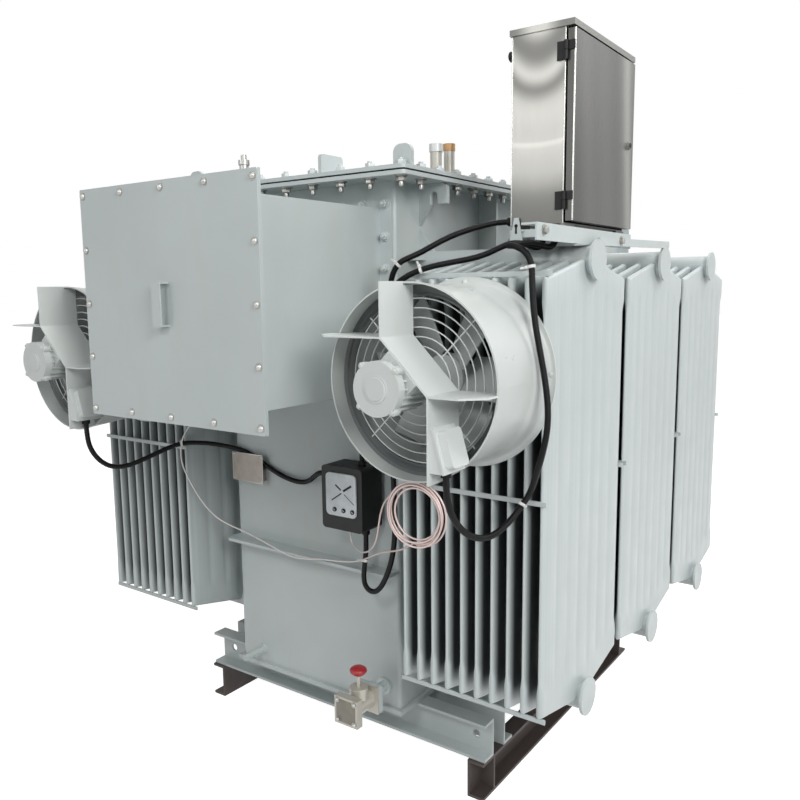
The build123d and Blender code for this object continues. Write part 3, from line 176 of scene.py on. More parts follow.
def plain(name, colour, roughness, metallic=0.0, **sockets):
    """Plastic, rubber or small metal parts with a fine grain."""
    made = Finish(name, colour, roughness, metallic, **sockets)
    made.tint(made.noise(SPECKS, 4), scaled(colour, GRAIN_SHADE), low=0.4, high=0.75)
    made.gloss(made.noise(SMUDGES, 3), roughness * SMOOTHER, roughness * ROUGHER)
    made.bump(made.noise(GRAIN, 2), 0.1, GRAIN_DEPTH)
    return made.material


GREY = enamel("grey enamel", (0.52, 0.57, 0.57))
WARM_GREY = enamel("warm grey enamel", (0.600, 0.635, 0.620), 0.34)
PALE_GREY = enamel("pale grey enamel", (0.690, 0.730, 0.715), 0.36)
PLATE_GREY = enamel("grey enamel on the bolts", (0.60, 0.645, 0.645), 0.33, 0.05)
PRIMER = enamel("brown primer", (0.060, 0.046, 0.042), 0.6, 0.25)
ZINC = plain("zinc plated steel", (0.40, 0.40, 0.38), 0.36, 1.0)
BLACK_RUBBER = plain("black gasket rubber", (0.012, 0.012, 0.012), 0.75, Specular_IOR_Level=0.2)
BLACK_CAST = plain("black die cast", (0.010, 0.010, 0.011), 0.42, Specular_IOR_Level=0.22)
BLACK_CONDUIT = plain("black corrugated conduit", (0.004, 0.004, 0.0045), 0.36, Specular_IOR_Level=0.16)
DARK_MOULDING = plain("dark grey moulding", (0.014, 0.015, 0.015), 0.42, Specular_IOR_Level=0.25)
WHITE_FACE = plain("white moulding", (0.66, 0.70, 0.72), 0.40)
WHITE_TIE = plain("white cable tie", (0.80, 0.80, 0.78), 0.35)
RED_KNOB = plain("red knob", (0.42, 0.020, 0.028), 0.32)
GREY_BLADE = enamel("grey enamel on the blades", (0.62, 0.66, 0.65), 0.40)
# painted shade: the inlet ring deep in each shroud gets a dark enamel because it lies in shade
INLET_SHADE_GREY = enamel("inlet enamel darkened as painted shade", (0.085, 0.095, 0.095), 0.50)

NODE_FINISHES = {
    BLACK_RUBBER: ["cover_gasket"],
    PRIMER: ["under_beams"],
    BLACK_CAST: ["cabinet_hinges", "door_hinges"],
    RED_KNOB: ["drain_knob"],
    DARK_MOULDING: ["indicator_box"],
    WHITE_FACE: ["indicator_face"],
    GREY_BLADE: ["fan_impeller_right", "fan_impeller_left"],
    WARM_GREY: ["fan_shrouds", "fan_motors"],
    PALE_GREY: ["motor_brackets", "terminal_boxes", "fan_guards"],
    BLACK_CONDUIT: ["conduit_glands"],
}
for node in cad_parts.values():
    node.data.materials.clear()
    node.data.materials.append(GREY)
for finish, names in NODE_FINISHES.items():
    for name in names:
        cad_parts[name].data.materials[0] = finish


# making pieces
TOUCHING = 1e-6
FINE_EDGE, NUT_EDGE, HEAD_EDGE, PLATE_EDGE = 0.0003, 0.0006, 0.0008, 0.001


def start():
    return bmesh.new()


def finish_piece(mesh, name, finish, body=MAIN, sharp=35.0):
    """Turns a bmesh into a piece that rides on a body."""
    bmesh.ops.recalc_face_normals(mesh, faces=mesh.faces)
    data = bpy.data.meshes.new(name)
    mesh.to_mesh(data)
    mesh.free()
    piece = bpy.data.objects.new(name, data)
    bpy.context.scene.collection.objects.link(piece)
    data.materials.append(finish)
    data.shade_smooth()
    data.set_sharp_from_angle(angle=radians(sharp))
    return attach(piece, body)


def turned_to(axis):
    """The turn that takes +Z to an axis."""
    return Vector(axis).to_track_quat("Z", "Y").to_matrix().to_4x4()


def softened(mesh, edges, width, segments=2):
    bmesh.ops.bevel(
        mesh, geom=edges, offset=width, offset_type="OFFSET", segments=segments,
        profile=0.5, affect="EDGES", clamp_overlap=True, material=-1,
    )


def block(mesh, centre, size, soft=0.0, turn=None, segments=2):
    """A bar or plate with softened edges."""
    place = Matrix.Translation(centre) @ (turn or Matrix.Identity(4)) @ Matrix.Diagonal((*size, 1))
    made = bmesh.ops.create_cube(mesh, size=1.0, matrix=place)["verts"]
    if soft:
        edges = {edge for vert in made for edge in vert.link_edges}
        softened(mesh, list(edges), soft, segments)


def rod(mesh, start_at, end_at, radius, end_radius=None, steps=20, soft=0.0):
    """A round bar, pipe stub, disc or cone between two points."""
    low, high = Vector(start_at), Vector(end_at)
    place = Matrix.Translation((low + high) / 2) @ turned_to(high - low)
    end_radius = radius if end_radius is None else end_radius
    made = bmesh.ops.create_cone(
        mesh, cap_ends=True, segments=steps, radius1=radius, radius2=end_radius,
        depth=(high - low).length, matrix=place,
    )["verts"]
    if soft:
        caps = {face for vert in made for face in vert.link_faces if len(face.verts) == steps}
        softened(mesh, list({edge for face in caps for edge in face.edges}), soft, 2)


def lathed(mesh, outline, centre, axis, steps=48, closed=True):
    """Spins an outline of (radius, station) points about an axis through the centre."""
    first = [mesh.verts.new((radius, 0, station)) for radius, station in outline]
    edges = [mesh.edges.new(pair) for pair in zip(first, first[1:])]
    if closed:
        edges.append(mesh.edges.new((first[-1], first[0])))
    spun = bmesh.ops.spin(
        mesh, geom=first + edges, cent=(0, 0, 0), axis=(0, 0, 1), angle=2 * pi,
        steps=steps, use_merge=True, use_duplicate=False,
    )
    verts = set(first)
    reach = list(first)
    while reach:
        for edge in reach.pop().link_edges:
            for vert in edge.verts:
                if vert not in verts:
                    verts.add(vert)
                    reach.append(vert)
    bmesh.ops.remove_doubles(mesh, verts=[vert for vert in verts if vert.is_valid], dist=TOUCHING)
    verts = [vert for vert in verts if vert.is_valid]
    bmesh.ops.transform(mesh, matrix=Matrix.Translation(centre) @ turned_to(axis), verts=verts)


def stamp(mesh, pattern, places):
    """Copies a finished pattern mesh to each place."""
    for place in places:
        count = len(mesh.verts)
        mesh.from_mesh(pattern)
        mesh.verts.ensure_lookup_table()
        bmesh.ops.transform(mesh, matrix=place, verts=mesh.verts[count:])


def pattern_of(mesh, name):
    bmesh.ops.recalc_face_normals(mesh, faces=mesh.faces)
    data = bpy.data.meshes.new(name)
    mesh.to_mesh(data)
    mesh.free()
    return data


# bolts on the cover, the cable boxes and the base
RIM_LOW, RIM_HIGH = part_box("tank_rim")
COVER_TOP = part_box("tank_cover")[1][2]
RIM_INSET = 0.030
RIM_COLUMNS, RIM_ROWS = 8, 16
HOOK_HALF_GAP = 0.024
LID_FACE = 1.2276
LID_INSET_X, LID_INSET_Z = 0.014, 0.018
LID_INTERVALS = 4
TANK_FACE = 0.6903
FLANGE_THICKNESS = 0.006
FLANGE_HALF_WIDTH = 0.332
FLANGE_BOTTOM, FLANGE_TOP = 1.2195, 1.7875
FLANGE_INSET_X, FLANGE_INSET_Z = 0.021, 0.012
FLANGE_COLUMNS, FLANGE_ROWS = 8, 6
WASHER, THIN_WASHER = 0.0025, 0.0015
STUD_SHARE = 0.30
BUTTON_ARC = (0, 0.4, 0.8, 1.2)
TURN_BETWEEN_BOLTS = 37


def hex_bolt(across, head, washer_radius, stud=0.0):
    """A hexagon head on a washer, standing on z = 0; a nut shows its stud's end."""
    mesh = start()
    top = WASHER + head
    rod(mesh, (0, 0, 0), (0, 0, WASHER), washer_radius, steps=18)
    rod(mesh, (0, 0, WASHER), (0, 0, top), across / sqrt(3), steps=6, soft=HEAD_EDGE)
    if stud:
        rod(mesh, (0, 0, top), (0, 0, top + stud), across * STUD_SHARE, steps=12, soft=NUT_EDGE)
    return pattern_of(mesh, "hexagon bolt")


def dome_bolt(radius, rise):
    """A button head on a thin washer."""
    mesh = start()
    rod(mesh, (0, 0, 0), (0, 0, THIN_WASHER), radius * 1.25, steps=18)
    arc = [(radius * cos(step), THIN_WASHER + rise * sin(step)) for step in BUTTON_ARC]
    outline = [(0.0, THIN_WASHER), *arc, (0.0, THIN_WASHER + rise)]
    lathed(mesh, outline, (0, 0, 0), (0, 0, 1), steps=16, closed=False)
    return pattern_of(mesh, "dome bolt")


def bolted(name, pattern, spots, axis, finish):
    """Copies of a bolt at each spot, each turned a little further than the one before."""
    mesh = start()
    stamp(mesh, pattern, [
        Matrix.Translation(spot) @ turned_to(axis) @ Matrix.Rotation(radians(TURN_BETWEEN_BOLTS * count), 4, "Z")
        for count, spot in enumerate(spots)
    ])
    return finish_piece(mesh, name, finish, sharp=30)


def spread(start_at, end_at, intervals):
    return [start_at + (end_at - start_at) * step / intervals for step in range(intervals + 1)]


def frame_spots(columns, rows):
    """Pairs round the edge of a rectangle: the whole first and last row, and the ends of the others."""
    spots = [(column, row) for row in (rows[0], rows[-1]) for column in columns]
    return spots + [(column, row) for column in (columns[0], columns[-1]) for row in rows[1:-1]]


def cover_bolts():
    """Bolts round the tank cover, with nuts under its rim except beside the lifting hooks."""
    columns = spread(RIM_LOW[0] + RIM_INSET, RIM_HIGH[0] - RIM_INSET, RIM_COLUMNS)
    rows = spread(RIM_LOW[1] + RIM_INSET, RIM_HIGH[1] - RIM_INSET, RIM_ROWS)
    spots = frame_spots(columns, rows)
    hook_low, hook_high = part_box("lifting_hooks")
    hook_rows = (hook_low[1], hook_high[1])
    heads = [(x, y, COVER_TOP) for x, y in spots]
    bolted("cover_bolt_heads", hex_bolt(across=0.024, head=0.011, washer_radius=0.0185, stud=0.006),
           heads, (0, 0, 1), PLATE_GREY)
    under = [(x, y, RIM_LOW[2]) for x, y in spots if min(abs(y - row) for row in hook_rows) > HOOK_HALF_GAP]
    bolted("cover_bolt_nuts", hex_bolt(across=0.024, head=0.012, washer_radius=0.0185, stud=0.014),
           under, (0, 0, -1), ZINC)


def cable_box_bolts():
    """Button heads on the cable box covers and hexagon bolts in the flanges on the tank."""
    for box_name, cover_name, out in (("lv_box", "lv_cover", -1), ("hv_box", "hv_cover", 1)):
        low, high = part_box(cover_name)
        columns = spread(low[0] + LID_INSET_X, high[0] - LID_INSET_X, LID_INTERVALS)
        rows = spread(low[2] + LID_INSET_Z, high[2] - LID_INSET_Z, LID_INTERVALS)
        bolted(f"{cover_name}_bolts", dome_bolt(0.0088, 0.0065),
               [(x, out * LID_FACE, z) for x, z in frame_spots(columns, rows)], (0, out, 0), ZINC)
        flange_face = out * (TANK_FACE + FLANGE_THICKNESS)
        half_row = FLANGE_HALF_WIDTH - FLANGE_INSET_X
        columns = spread(-half_row, half_row, FLANGE_COLUMNS)
        rows = spread(FLANGE_BOTTOM + FLANGE_INSET_Z, FLANGE_TOP - FLANGE_INSET_Z, FLANGE_ROWS)
        bolted(f"{box_name}_flange_bolts", hex_bolt(across=0.019, head=0.009, washer_radius=0.014, stud=0.008),
               [(x, flange_face, z) for x, z in frame_spots(columns, rows)], (0, out, 0), PLATE_GREY)


cover_bolts()
cable_box_bolts()


# radiator panels
PANEL_HALF_WIDTH = 0.260
PANEL_HALF_THICKNESS = 0.009
PANEL_EDGE_LOW, PANEL_EDGE_HIGH = 0.451, 1.561
SHOULDER_RISE = 0.046
SHOULDER_HALF_FLAT = 0.045
PANEL_COUNT = 10
PANEL_PITCH = 0.0457
RIM_ROUND = 0.008
FLUTE_COUNT = 7
FLUTE_DEPTH = 0.0042
FLUTE_MARGIN = 0.014
FLUTE_START = 0.062
FLUTE_FADE = 0.035
FLUTE_STEPS = 8
FLUTE_SQUARENESS = 0.6
RIM_SHARES = (0, 0.06, 0.25, 0.55, 1.0)
FADE_SHARES = (0, 0.3, 0.6, 1.0)
# how far the painted shade between two panels reaches in, from a panel's edge and from its ends
SHADE_FROM_EDGE = (0.008, 0.032)
SHADE_FROM_END = (0.010, 0.060)
# painted shade: the colour that stands in for the shade in the gaps between the panels
PAINTED_GAP_SHADE = (0.070, 0.080, 0.082)


def rounded(distance):
    return sqrt(max(0.0, 1 - (1 - min(distance / RIM_ROUND, 1)) ** 2))


def eased(value):
    value = min(max(value, 0.0), 1.0)
    return value * value * (3 - 2 * value)


def radiator_panel():
    """A pressed panel about its own middle: rounded rim, plain ends and upright flutes."""
    mesh = start()
    rim = [RIM_ROUND * share for share in RIM_SHARES]
    fluted = PANEL_HALF_WIDTH - FLUTE_MARGIN
    across = [step - PANEL_HALF_WIDTH for step in rim] + spread(-fluted, fluted, FLUTE_STEPS * FLUTE_COUNT)
    across += [PANEL_HALF_WIDTH - step for step in reversed(rim)]
    ends = rim + [FLUTE_START + FLUTE_FADE * share for share in FADE_SHARES]
    shoulder = PANEL_HALF_WIDTH - SHOULDER_HALF_FLAT
    sheets = []
    for side in SIDES:
        columns = []
        for y in across:
            lift = SHOULDER_RISE * min(1.0, (PANEL_HALF_WIDTH - abs(y)) / shoulder)
            low, high = PANEL_EDGE_LOW - lift, PANEL_EDGE_HIGH + lift
            share = (y + PANEL_HALF_WIDTH - FLUTE_MARGIN) / (2 * fluted)
            groove = 1 - abs(sin(pi * FLUTE_COUNT * share)) ** FLUTE_SQUARENESS if 0 <= share <= 1 else 1.0
            column = []
            for height in [low + end for end in ends] + [high - end for end in reversed(ends)]:
                near = min(height - low, high - height)
                depth = FLUTE_DEPTH * groove * eased((near - FLUTE_START) / FLUTE_FADE)
                half = (PANEL_HALF_THICKNESS - depth) * rounded(near) * rounded(PANEL_HALF_WIDTH - abs(y))
                column.append(mesh.verts.new((side * half, y, height)))
            columns.append(column)
        sheets.append(columns)
    for columns in sheets:
        for left, right in zip(columns, columns[1:]):
            for level in range(len(left) - 1):
                mesh.faces.new((left[level], right[level], right[level + 1], left[level + 1]))
    bmesh.ops.remove_doubles(mesh, verts=mesh.verts, dist=TOUCHING)
    return pattern_of(mesh, "radiator panel")


def radiators():
    pattern = radiator_panel()
    for side in SIDES:
        node = f"radiator_panels_{SIDE_NAMES[side]}"
        low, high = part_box(node)
        first = (low[0] if side > 0 else high[0]) + side * PANEL_HALF_THICKNESS
        stations = (low[1] + PANEL_HALF_WIDTH, 0.0, high[1] - PANEL_HALF_WIDTH)
        mesh = start()
        stamp(mesh, pattern, [
            Matrix.Translation((first + side * PANEL_PITCH * count, station, 0))
            for station in stations for count in range(PANEL_COUNT)
        ])
        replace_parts(finish_piece(mesh, f"fluted_panels_{SIDE_NAMES[side]}", RADIATOR_GREY, sharp=50), node)


def painted_shade_between_panels(made):
    """One where a face lies between two panels and inside their edges: where the shade between them is painted.
    """
    low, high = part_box("radiator_panels_right")
    near, far = 0.45 * PANEL_PITCH / 2, 0.55 * PANEL_PITCH / 2
    outward = made.maths("ABSOLUTE", made.level("X"))
    station = made.maths("PINGPONG", made.level("Y"), (high[1] - PANEL_HALF_WIDTH) / 2)
    height = made.level("Z")
    edge_near, edge_far = SHADE_FROM_EDGE
    end_near, end_far = SHADE_FROM_END
    inner = made.range(outward, 0, 1, low[0] + near, low[0] + far)
    outer = made.range(outward, 1, 0, high[0] - far, high[0] - near)
    depth = made.range(station, 1, 0, PANEL_HALF_WIDTH - edge_far, PANEL_HALF_WIDTH - edge_near)
    above = made.range(height, 0, 1, PANEL_EDGE_LOW + end_near, PANEL_EDGE_LOW + end_far)
    below = made.range(height, 1, 0, PANEL_EDGE_HIGH - end_far, PANEL_EDGE_HIGH - end_near)
    share = inner
    for part in (outer, depth, above, below):
        share = made.maths("MULTIPLY", share, part)
    return share


def radiator_enamel():
    """The same enamel, with fine upright streaks from the press, and painted shade between the panels."""
    made = Finish("radiator enamel", (0.54, 0.59, 0.59), 0.36, IOR=1.5)
    streak = made.noise(STREAKS, 3, stretch=(1, 210, 0.22), roughness=0.6)
    made.tint(streak, (0.47, 0.515, 0.515), low=0.45, high=0.80)
    made.tint(made.noise(CLOUDS, 4), (0.50, 0.545, 0.545), low=0.45, high=0.8)
    # painted shade: the enamel is darkened between the panels, where the gaps lie in shade
    made.tint(painted_shade_between_panels(made), PAINTED_GAP_SHADE, high=0.85)
    made.gloss(made.noise(SATIN, 4), 0.30, 0.46)
    made.bump(streak, 0.10, STREAK_DEPTH)
    made.bump(made.noise(PEEL, 2), 0.10, PEEL_DEPTH)
    return made.material


RADIATOR_GREY = radiator_enamel()
radiators()


# conduits and capillary
CONDUIT_RADIUS = 0.008
CONDUIT_GROOVE = 0.0068
CONDUIT_RIB_PITCH = 0.0046
CAPILLARY_RADIUS = 0.0025
TUBE_SIDES = 12
STEPS_TO_A_RIB = 3
CURVE_ORDER, CURVE_STEPS = 3, 12
MILLIMETRES = 1000


def spline_through(name, points):
    """An open curve that keeps near the straight runs between its points."""
    data = bpy.data.curves.new(name, "CURVE")
    data.dimensions = "3D"
    spline = data.splines.new("NURBS")
    spline.points.add(len(points) - 1)
    for knot, point in zip(spline.points, points):
        knot.co = (*(part / MILLIMETRES for part in point), 1)
    spline.order_u = CURVE_ORDER
    spline.use_endpoint_u = True
    spline.resolution_u = CURVE_STEPS
    holder = bpy.data.objects.new(name, data)
    bpy.context.scene.collection.objects.link(holder)
    return holder


def centre_line(name, points):
    """The points that such a curve follows, evenly spaced along it."""
    holder = spline_through(name, points)
    line = bpy.data.meshes.new_from_object(holder)
    trail = [vert.co.copy() for vert in line.vertices]
    bpy.data.meshes.remove(line)
    bpy.data.objects.remove(holder)
    return trail


def evenly(trail, step):
    """Spots along a trail, a step apart."""
    spots = [trail[0]]
    left = step
    for before, after in zip(trail, trail[1:]):
        run = (after - before).length
        while run > 0 and left <= run:
            spots.append(before.lerp(after, left / run))
            left += step
        left -= run
    return spots


def ribbed_tube(name, trail):
    """Corrugated conduit: three rings to a rib, one of them in the groove."""
    mesh = start()
    spots = evenly(trail, CONDUIT_RIB_PITCH / STEPS_TO_A_RIB)
    side = (spots[1] - spots[0]).orthogonal().normalized()
    rings = []
    for count, spot in enumerate(spots):
        ahead = (spots[min(count + 1, len(spots) - 1)] - spots[max(count - 1, 0)]).normalized()
        side = (side - side.project(ahead)).normalized()
        over = ahead.cross(side)
        radius = CONDUIT_GROOVE if count % STEPS_TO_A_RIB == 1 else CONDUIT_RADIUS
        rings.append([
            mesh.verts.new(spot + radius * (cos(turn) * side + sin(turn) * over))
            for turn in (2 * pi * step / TUBE_SIDES for step in range(TUBE_SIDES))
        ])
    for before, after in zip(rings, rings[1:]):
        for step in range(TUBE_SIDES):
            mesh.faces.new((before[step - 1], before[step], after[step], after[step - 1]))
    mesh.faces.new(rings[0])
    mesh.faces.new(rings[-1])
    return finish_piece(mesh, name, BLACK_CONDUIT, sharp=80)


# the points of the conduits and the capillary, in millimetres
CONDUITS = {
    "left_fan_conduit": [
        (-529.3, -1130.8, 1132.4), (-529, -1131, 1098), (-528, -1124, 1054), (-521, -1101, 1013),
        (-511, -1067, 986), (-499, -1028, 980), (-487, -988, 988), (-474, -946, 1001),
        (-461, -903, 1016), (-447, -864, 1028), (-430, -831, 1033), (-409, -797, 1030),
        (-385, -761, 1024), (-360, -729, 1014), (-330, -707, 1006), (-292, -701, 999),
        (-250, -700, 986), (-208, -701, 969), (-165, -700, 950), (-120, -702, 935), (-74, -704, 926),
        (-28, -708, 925), (12, -715, 936), (50, -735, 958), (81, -752, 976), (106.4, -762.3, 985),
        (132.4, -762.3, 985),
    ],
    "right_fan_conduit": [
        (782.0, -1130.8, 1132.4), (782, -1131, 1094), (784, -1117, 1050), (789, -1086, 1008),
        (796, -1044, 978), (803, -996, 963), (810, -948, 965), (817, -901, 982), (826, -862, 1008),
        (846, -846, 1048), (866, -858, 1098), (886, -868, 1152), (900, -874, 1212), (901, -877, 1270),
        (892, -877, 1330), (878, -874, 1390), (863, -869, 1448), (850, -857, 1504), (842, -846, 1550),
        (839, -842, 1583), (833, -843, 1606), (818, -845, 1624), (797, -843, 1634), (776, -832, 1637),
        (764, -813, 1637), (763, -788, 1639), (770, -758, 1643), (780, -728, 1646), (791, -699, 1642),
        (801, -673, 1637), (804, -653, 1641), (805, -640, 1652), (805, -635, 1666), (805, -635, 1680),
    ],
    "indicator_conduit": [
        (274, -762.3, 820.4), (274, -762, 785), (273, -765, 750), (271, -769, 718), (271, -773, 692),
        (278, -777, 670), (296, -780, 657), (318, -783, 658), (337, -786, 671), (353, -788, 692),
        (372, -791, 727), (390, -794, 772), (402, -797, 826), (407, -799, 885), (406, -801, 965),
        (403, -802, 1065), (401, -804, 1180), (397, -805, 1300), (397, -807, 1400), (403, -811, 1480),
        (415, -822, 1540), (431, -830, 1580), (450, -826, 1606), (471, -810, 1618), (491, -792, 1629),
        (513, -773, 1645), (537, -754, 1661), (565, -732, 1677), (595, -707, 1690), (618, -682, 1699),
        (636, -662, 1705), (655, -650, 1708), (677.4, -650, 1707.6),
    ],
    "upper_conduit": [
        (264, -762.3, 1039.6), (264, -762, 1068), (268, -768, 1104), (280, -774, 1146),
        (298, -783, 1195), (318, -792, 1250), (338, -802, 1312), (357, -815, 1376), (378, -827, 1436),
        (403, -838, 1488), (433, -845, 1532), (471, -845, 1563), (512, -834, 1582), (548, -820, 1593),
        (580, -804, 1600), (613, -787, 1606), (646, -770, 1613), (676, -754, 1624), (702, -741, 1638),
        (724, -727, 1648), (744, -709, 1648), (759, -687, 1642), (767, -668, 1637), (770, -651, 1641),
        (771, -640, 1652), (771, -635, 1666), (771, -635, 1680),
    ],
}
TO_COIL = [
    (-300, -700.6, 1190), (-300, -724, 1190), (-316, -752, 1177), (-342, -781, 1157),
    (-371, -811, 1130), (-399, -837, 1095), (-417, -853, 1057), (-425, -858, 1014), (-428, -853, 968),
    (-424, -838, 924), (-414, -821, 880), (-399, -805, 837), (-376, -789, 797), (-346, -775, 769),
    (-307, -767, 754), (-261, -764, 745), (-211, -764, 737), (-160, -765, 726), (-108, -764, 713),
    (-58, -764, 700), (-10, -764, 693), (38, -765, 700), (88, -766, 710), (140, -767, 716),
    (190, -770, 722), (228, -777, 731), (262, -788, 743), (296, -803, 758), (332, -822, 778),
    (371, -845, 800), (415, -872, 823), (463, -901, 842), (511, -931, 862), (556, -961, 886),
    (593, -989, 909), (615, -1014, 924), (634, -1038, 934),
]
FROM_COIL = [
    (603, -1053, 1066), (592, -1034, 1062), (577, -1013, 1056), (556, -993, 1045), (518, -966, 1023),
    (480, -938, 997), (448, -912, 968), (423, -890, 934), (405, -874, 897), (389, -860, 860),
    (369, -845, 829), (342, -829, 803), (311, -812, 785), (281, -796, 776), (254, -783, 778),
    (235, -772, 781), (221, -765, 790), (215, -762, 806), (215, -762.3, 824.4),
]
# the loose coil: places and radii in millimetres, turns as angles in degrees
COIL_CENTRE_X, COIL_CENTRE_Z = 655.65, 1012.6
COIL_LAYER = 5.4
COIL_BACK = -1054.6
COIL_START, COIL_END = -86, 111
COIL_FULL_TURNS = 4
COIL_STEP = 26
COIL_OUTER_TURNS = 2.85
COIL_LAYERS = 2.0
COIL_OUTER, COIL_OUTER_WAVE = 77.6, 4.4
COIL_INNER, COIL_INNER_WAVE = 64.8, 3.2
COIL_SWAY, COIL_SWAY_START = 0.69, 72
COIL_CROSSING = 0.15
COIL_LEAD_OUT, COIL_LEAD_TURNS = 6.0, 0.25
PINK_COVER_FROM, PINK_COVER_TO = 0.26, 0.36


def coil_points():
    """Loose turns from the bottom round to the upper left: three towards the front, the rest inside them."""
    points = []
    sweep = COIL_END - COIL_START + 360 * COIL_FULL_TURNS
    steps = round(sweep / COIL_STEP)
    for step in range(steps + 1):
        angle = COIL_START + sweep * step / steps
        turns = (angle - COIL_START) / 360
        sway = cos(2 * pi * COIL_SWAY * turns - radians(COIL_SWAY_START))
        inward = min(1.0, max(0.0, (turns - COIL_OUTER_TURNS) / COIL_CROSSING))
        outer = COIL_OUTER + COIL_OUTER_WAVE * sway
        inner = COIL_INNER + COIL_INNER_WAVE * sway
        radius = (1 - inward) * outer + inward * inner
        radius += COIL_LEAD_OUT * max(0.0, 1 - (sweep / 360 - turns) / COIL_LEAD_TURNS)
        layer = min(turns, COIL_LAYERS) if turns < COIL_OUTER_TURNS else COIL_LAYERS - (turns - COIL_OUTER_TURNS)
        points.append((
            COIL_CENTRE_X + radius * cos(radians(angle)),
            COIL_BACK - COIL_LAYER * layer,
            COIL_CENTRE_Z + radius * sin(radians(angle)),
        ))
    return points


def conduits():
    """Corrugated conduits over the plain ones, and the trails that they follow."""
    trails = {}
    for node, points in CONDUITS.items():
        trail = centre_line(node, points)
        piece = ribbed_tube(f"corrugated_{node}", trail)
        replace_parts(piece, node)
        trails[node] = trail
    return trails


def capillary():
    points = TO_COIL + coil_points() + FROM_COIL
    piece = spline_through("capillary", points)
    piece.data.bevel_depth = CAPILLARY_RADIUS
    piece.data.bevel_resolution = 3
    piece.data.materials.append(CAPILLARY_METAL)
    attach(piece, MAIN)
    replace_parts(piece, "capillary_tube", "capillary_coil")


def capillary_metal():
    """Plated tube, with the pink cover of its spare length."""
    made = Finish("plated capillary", (0.62, 0.60, 0.58), 0.35, 0.2)
    made.tint(made.level("X"), (0.70, 0.56, 0.53), PINK_COVER_FROM, PINK_COVER_TO)
    made.gloss(made.noise(SMUDGES, 3), 0.28, 0.42)
    return made.material


TIE_GAP, TIE_THICKNESS, TIE_HALF_WIDTH = 0.0002, 0.0020, 0.0036
TIE_LOCK, TIE_LOCK_RISE = (0.010, 0.0075, 0.006), 0.002
TIE_TAIL, TIE_TAIL_RISE = (0.0026, 0.0050, 0.018), 0.007
# conduit, a place near the tie in millimetres, and the way its lock points
TIES = (
    ("left_fan_conduit", (-441, -842, 1030), (0.3, -1, 0.5)),
    ("right_fan_conduit", (827, -850, 1012), (0.5, -1, -0.4)),
    ("right_fan_conduit", (839, -842, 1585), (-1, -0.4, 0)),
    ("indicator_conduit", (446, -826, 1600), (-0.5, -1, 0.6)),
    ("indicator_conduit", (272, -766, 740), (-0.8, -1, 0)),
    ("upper_conduit", (520, -832, 1583), (0, -0.6, 1)),
)


def tie_on(mesh, trail, near, lean):
    """A cable tie round a conduit at the point nearest to a place, with its lock and cut tail."""
    near = Vector(near) / MILLIMETRES
    place = min(range(1, len(trail) - 1), key=lambda i: (trail[i] - near).length)
    along = (trail[place + 1] - trail[place - 1]).normalized()
    at = trail[place]
    inner, outer, half = CONDUIT_RADIUS + TIE_GAP, CONDUIT_RADIUS + TIE_THICKNESS, TIE_HALF_WIDTH
    lathed(mesh, [(inner, -half), (outer, -half), (outer, half), (inner, half)], at, along, steps=20)
    out = (Vector(lean) - Vector(lean).project(along)).normalized()
    turn = Matrix((out.cross(along), along, out)).transposed().to_4x4()
    block(mesh, at + out * (outer + TIE_LOCK_RISE), TIE_LOCK, HEAD_EDGE, turn, 1)
    block(mesh, at + out * (outer + TIE_TAIL_RISE), TIE_TAIL, 0.0, turn, 1)


def conduit_ties(trails):
    mesh = start()
    for conduit, near, lean in TIES:
        tie_on(mesh, trails[conduit], near, lean)
    finish_piece(mesh, "conduit_ties", WHITE_TIE, sharp=40)


CAPILLARY_METAL = capillary_metal()
conduit_trails = conduits()
capillary()
conduit_ties(conduit_trails)


# control cabinet
DOOR_LOW, DOOR_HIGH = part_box("cabinet_door")
CABINET_FRONT = DOOR_LOW[1]
CABINET_LEFT, CABINET_FACE = 0.692, 0.838
SHEET_LOW, SHEET_HIGH = 1.6946, 2.1606
FOLD_WIDTH, FOLD_RISE, FOLD_EDGE = 0.003, 0.002, 0.0007
FOLD_PROUD, DOOR_FOLD_PROUD = 0.0004, 0.0002
DOOR_FOLD_X = 0.8615
DOOR_FOLD_WIDTH, DOOR_FOLD_RISE = 0.004, 0.0024
PLUG_SETBACK, PLUG_HEIGHT = 0.016, 2.118
PLUG_OUTLINE = [(0.006, 0), (0.006, 0.004), (0.013, 0.005), (0.013, 0.012), (0.010, 0.0145), (0.0, 0.0145)]
LOCK_INSET = 0.044
LOCK_OUTLINE = [(0.0, -0.002), (0.0085, -0.002), (0.0085, 0.0008), (0.0, 0.0008)]
LOCK_SLOT, LOCK_SLOT_RISE = (0.0012, 0.003, 0.009), 0.0008
FRAME_BOLTS = [(0.8681, -0.842, 1.668), (0.8924, -0.405, 1.660)]
EAR_X, EAR_FACE, EAR_HOLE_Z = 0.712, -0.6752, 1.694
EAR_HOLE, EAR_RELIEF = 0.0045, 0.0012
EAR_SLOT_Z, EAR_SLOT_LENGTH = 1.684, 0.020
# painted reflections of a hall, as bands in the brushed sheet: their places from 0 to 1, and their shades
NARROW_REFLECTION_BANDS = [
    (0.00, 0.12), (0.10, 0.14), (0.16, 0.17), (0.22, 0.29), (0.28, 0.38), (0.40, 0.42),
    (0.425, 0.60), (0.44, 0.38), (0.55, 0.47), (0.63, 0.46), (0.68, 0.20), (0.72, 0.16),
    (0.77, 0.58), (0.82, 0.32), (0.87, 0.15), (0.93, 0.18), (0.97, 0.32), (1.00, 0.56),
]
DOOR_REFLECTION_BANDS = [
    (0.00, 0.06), (0.08, 0.07), (0.20, 0.115), (0.34, 0.08), (0.50, 0.11),
    (0.66, 0.07), (0.80, 0.09), (0.90, 0.34), (0.96, 0.15), (1.00, 0.12),
]
SHEET_COLOUR = (1, 0.99, 0.925)
SCRATCH_COLOUR = (0.30, 0.30, 0.28)
UPRIGHT_BRUSHING = (140, 140, 2)


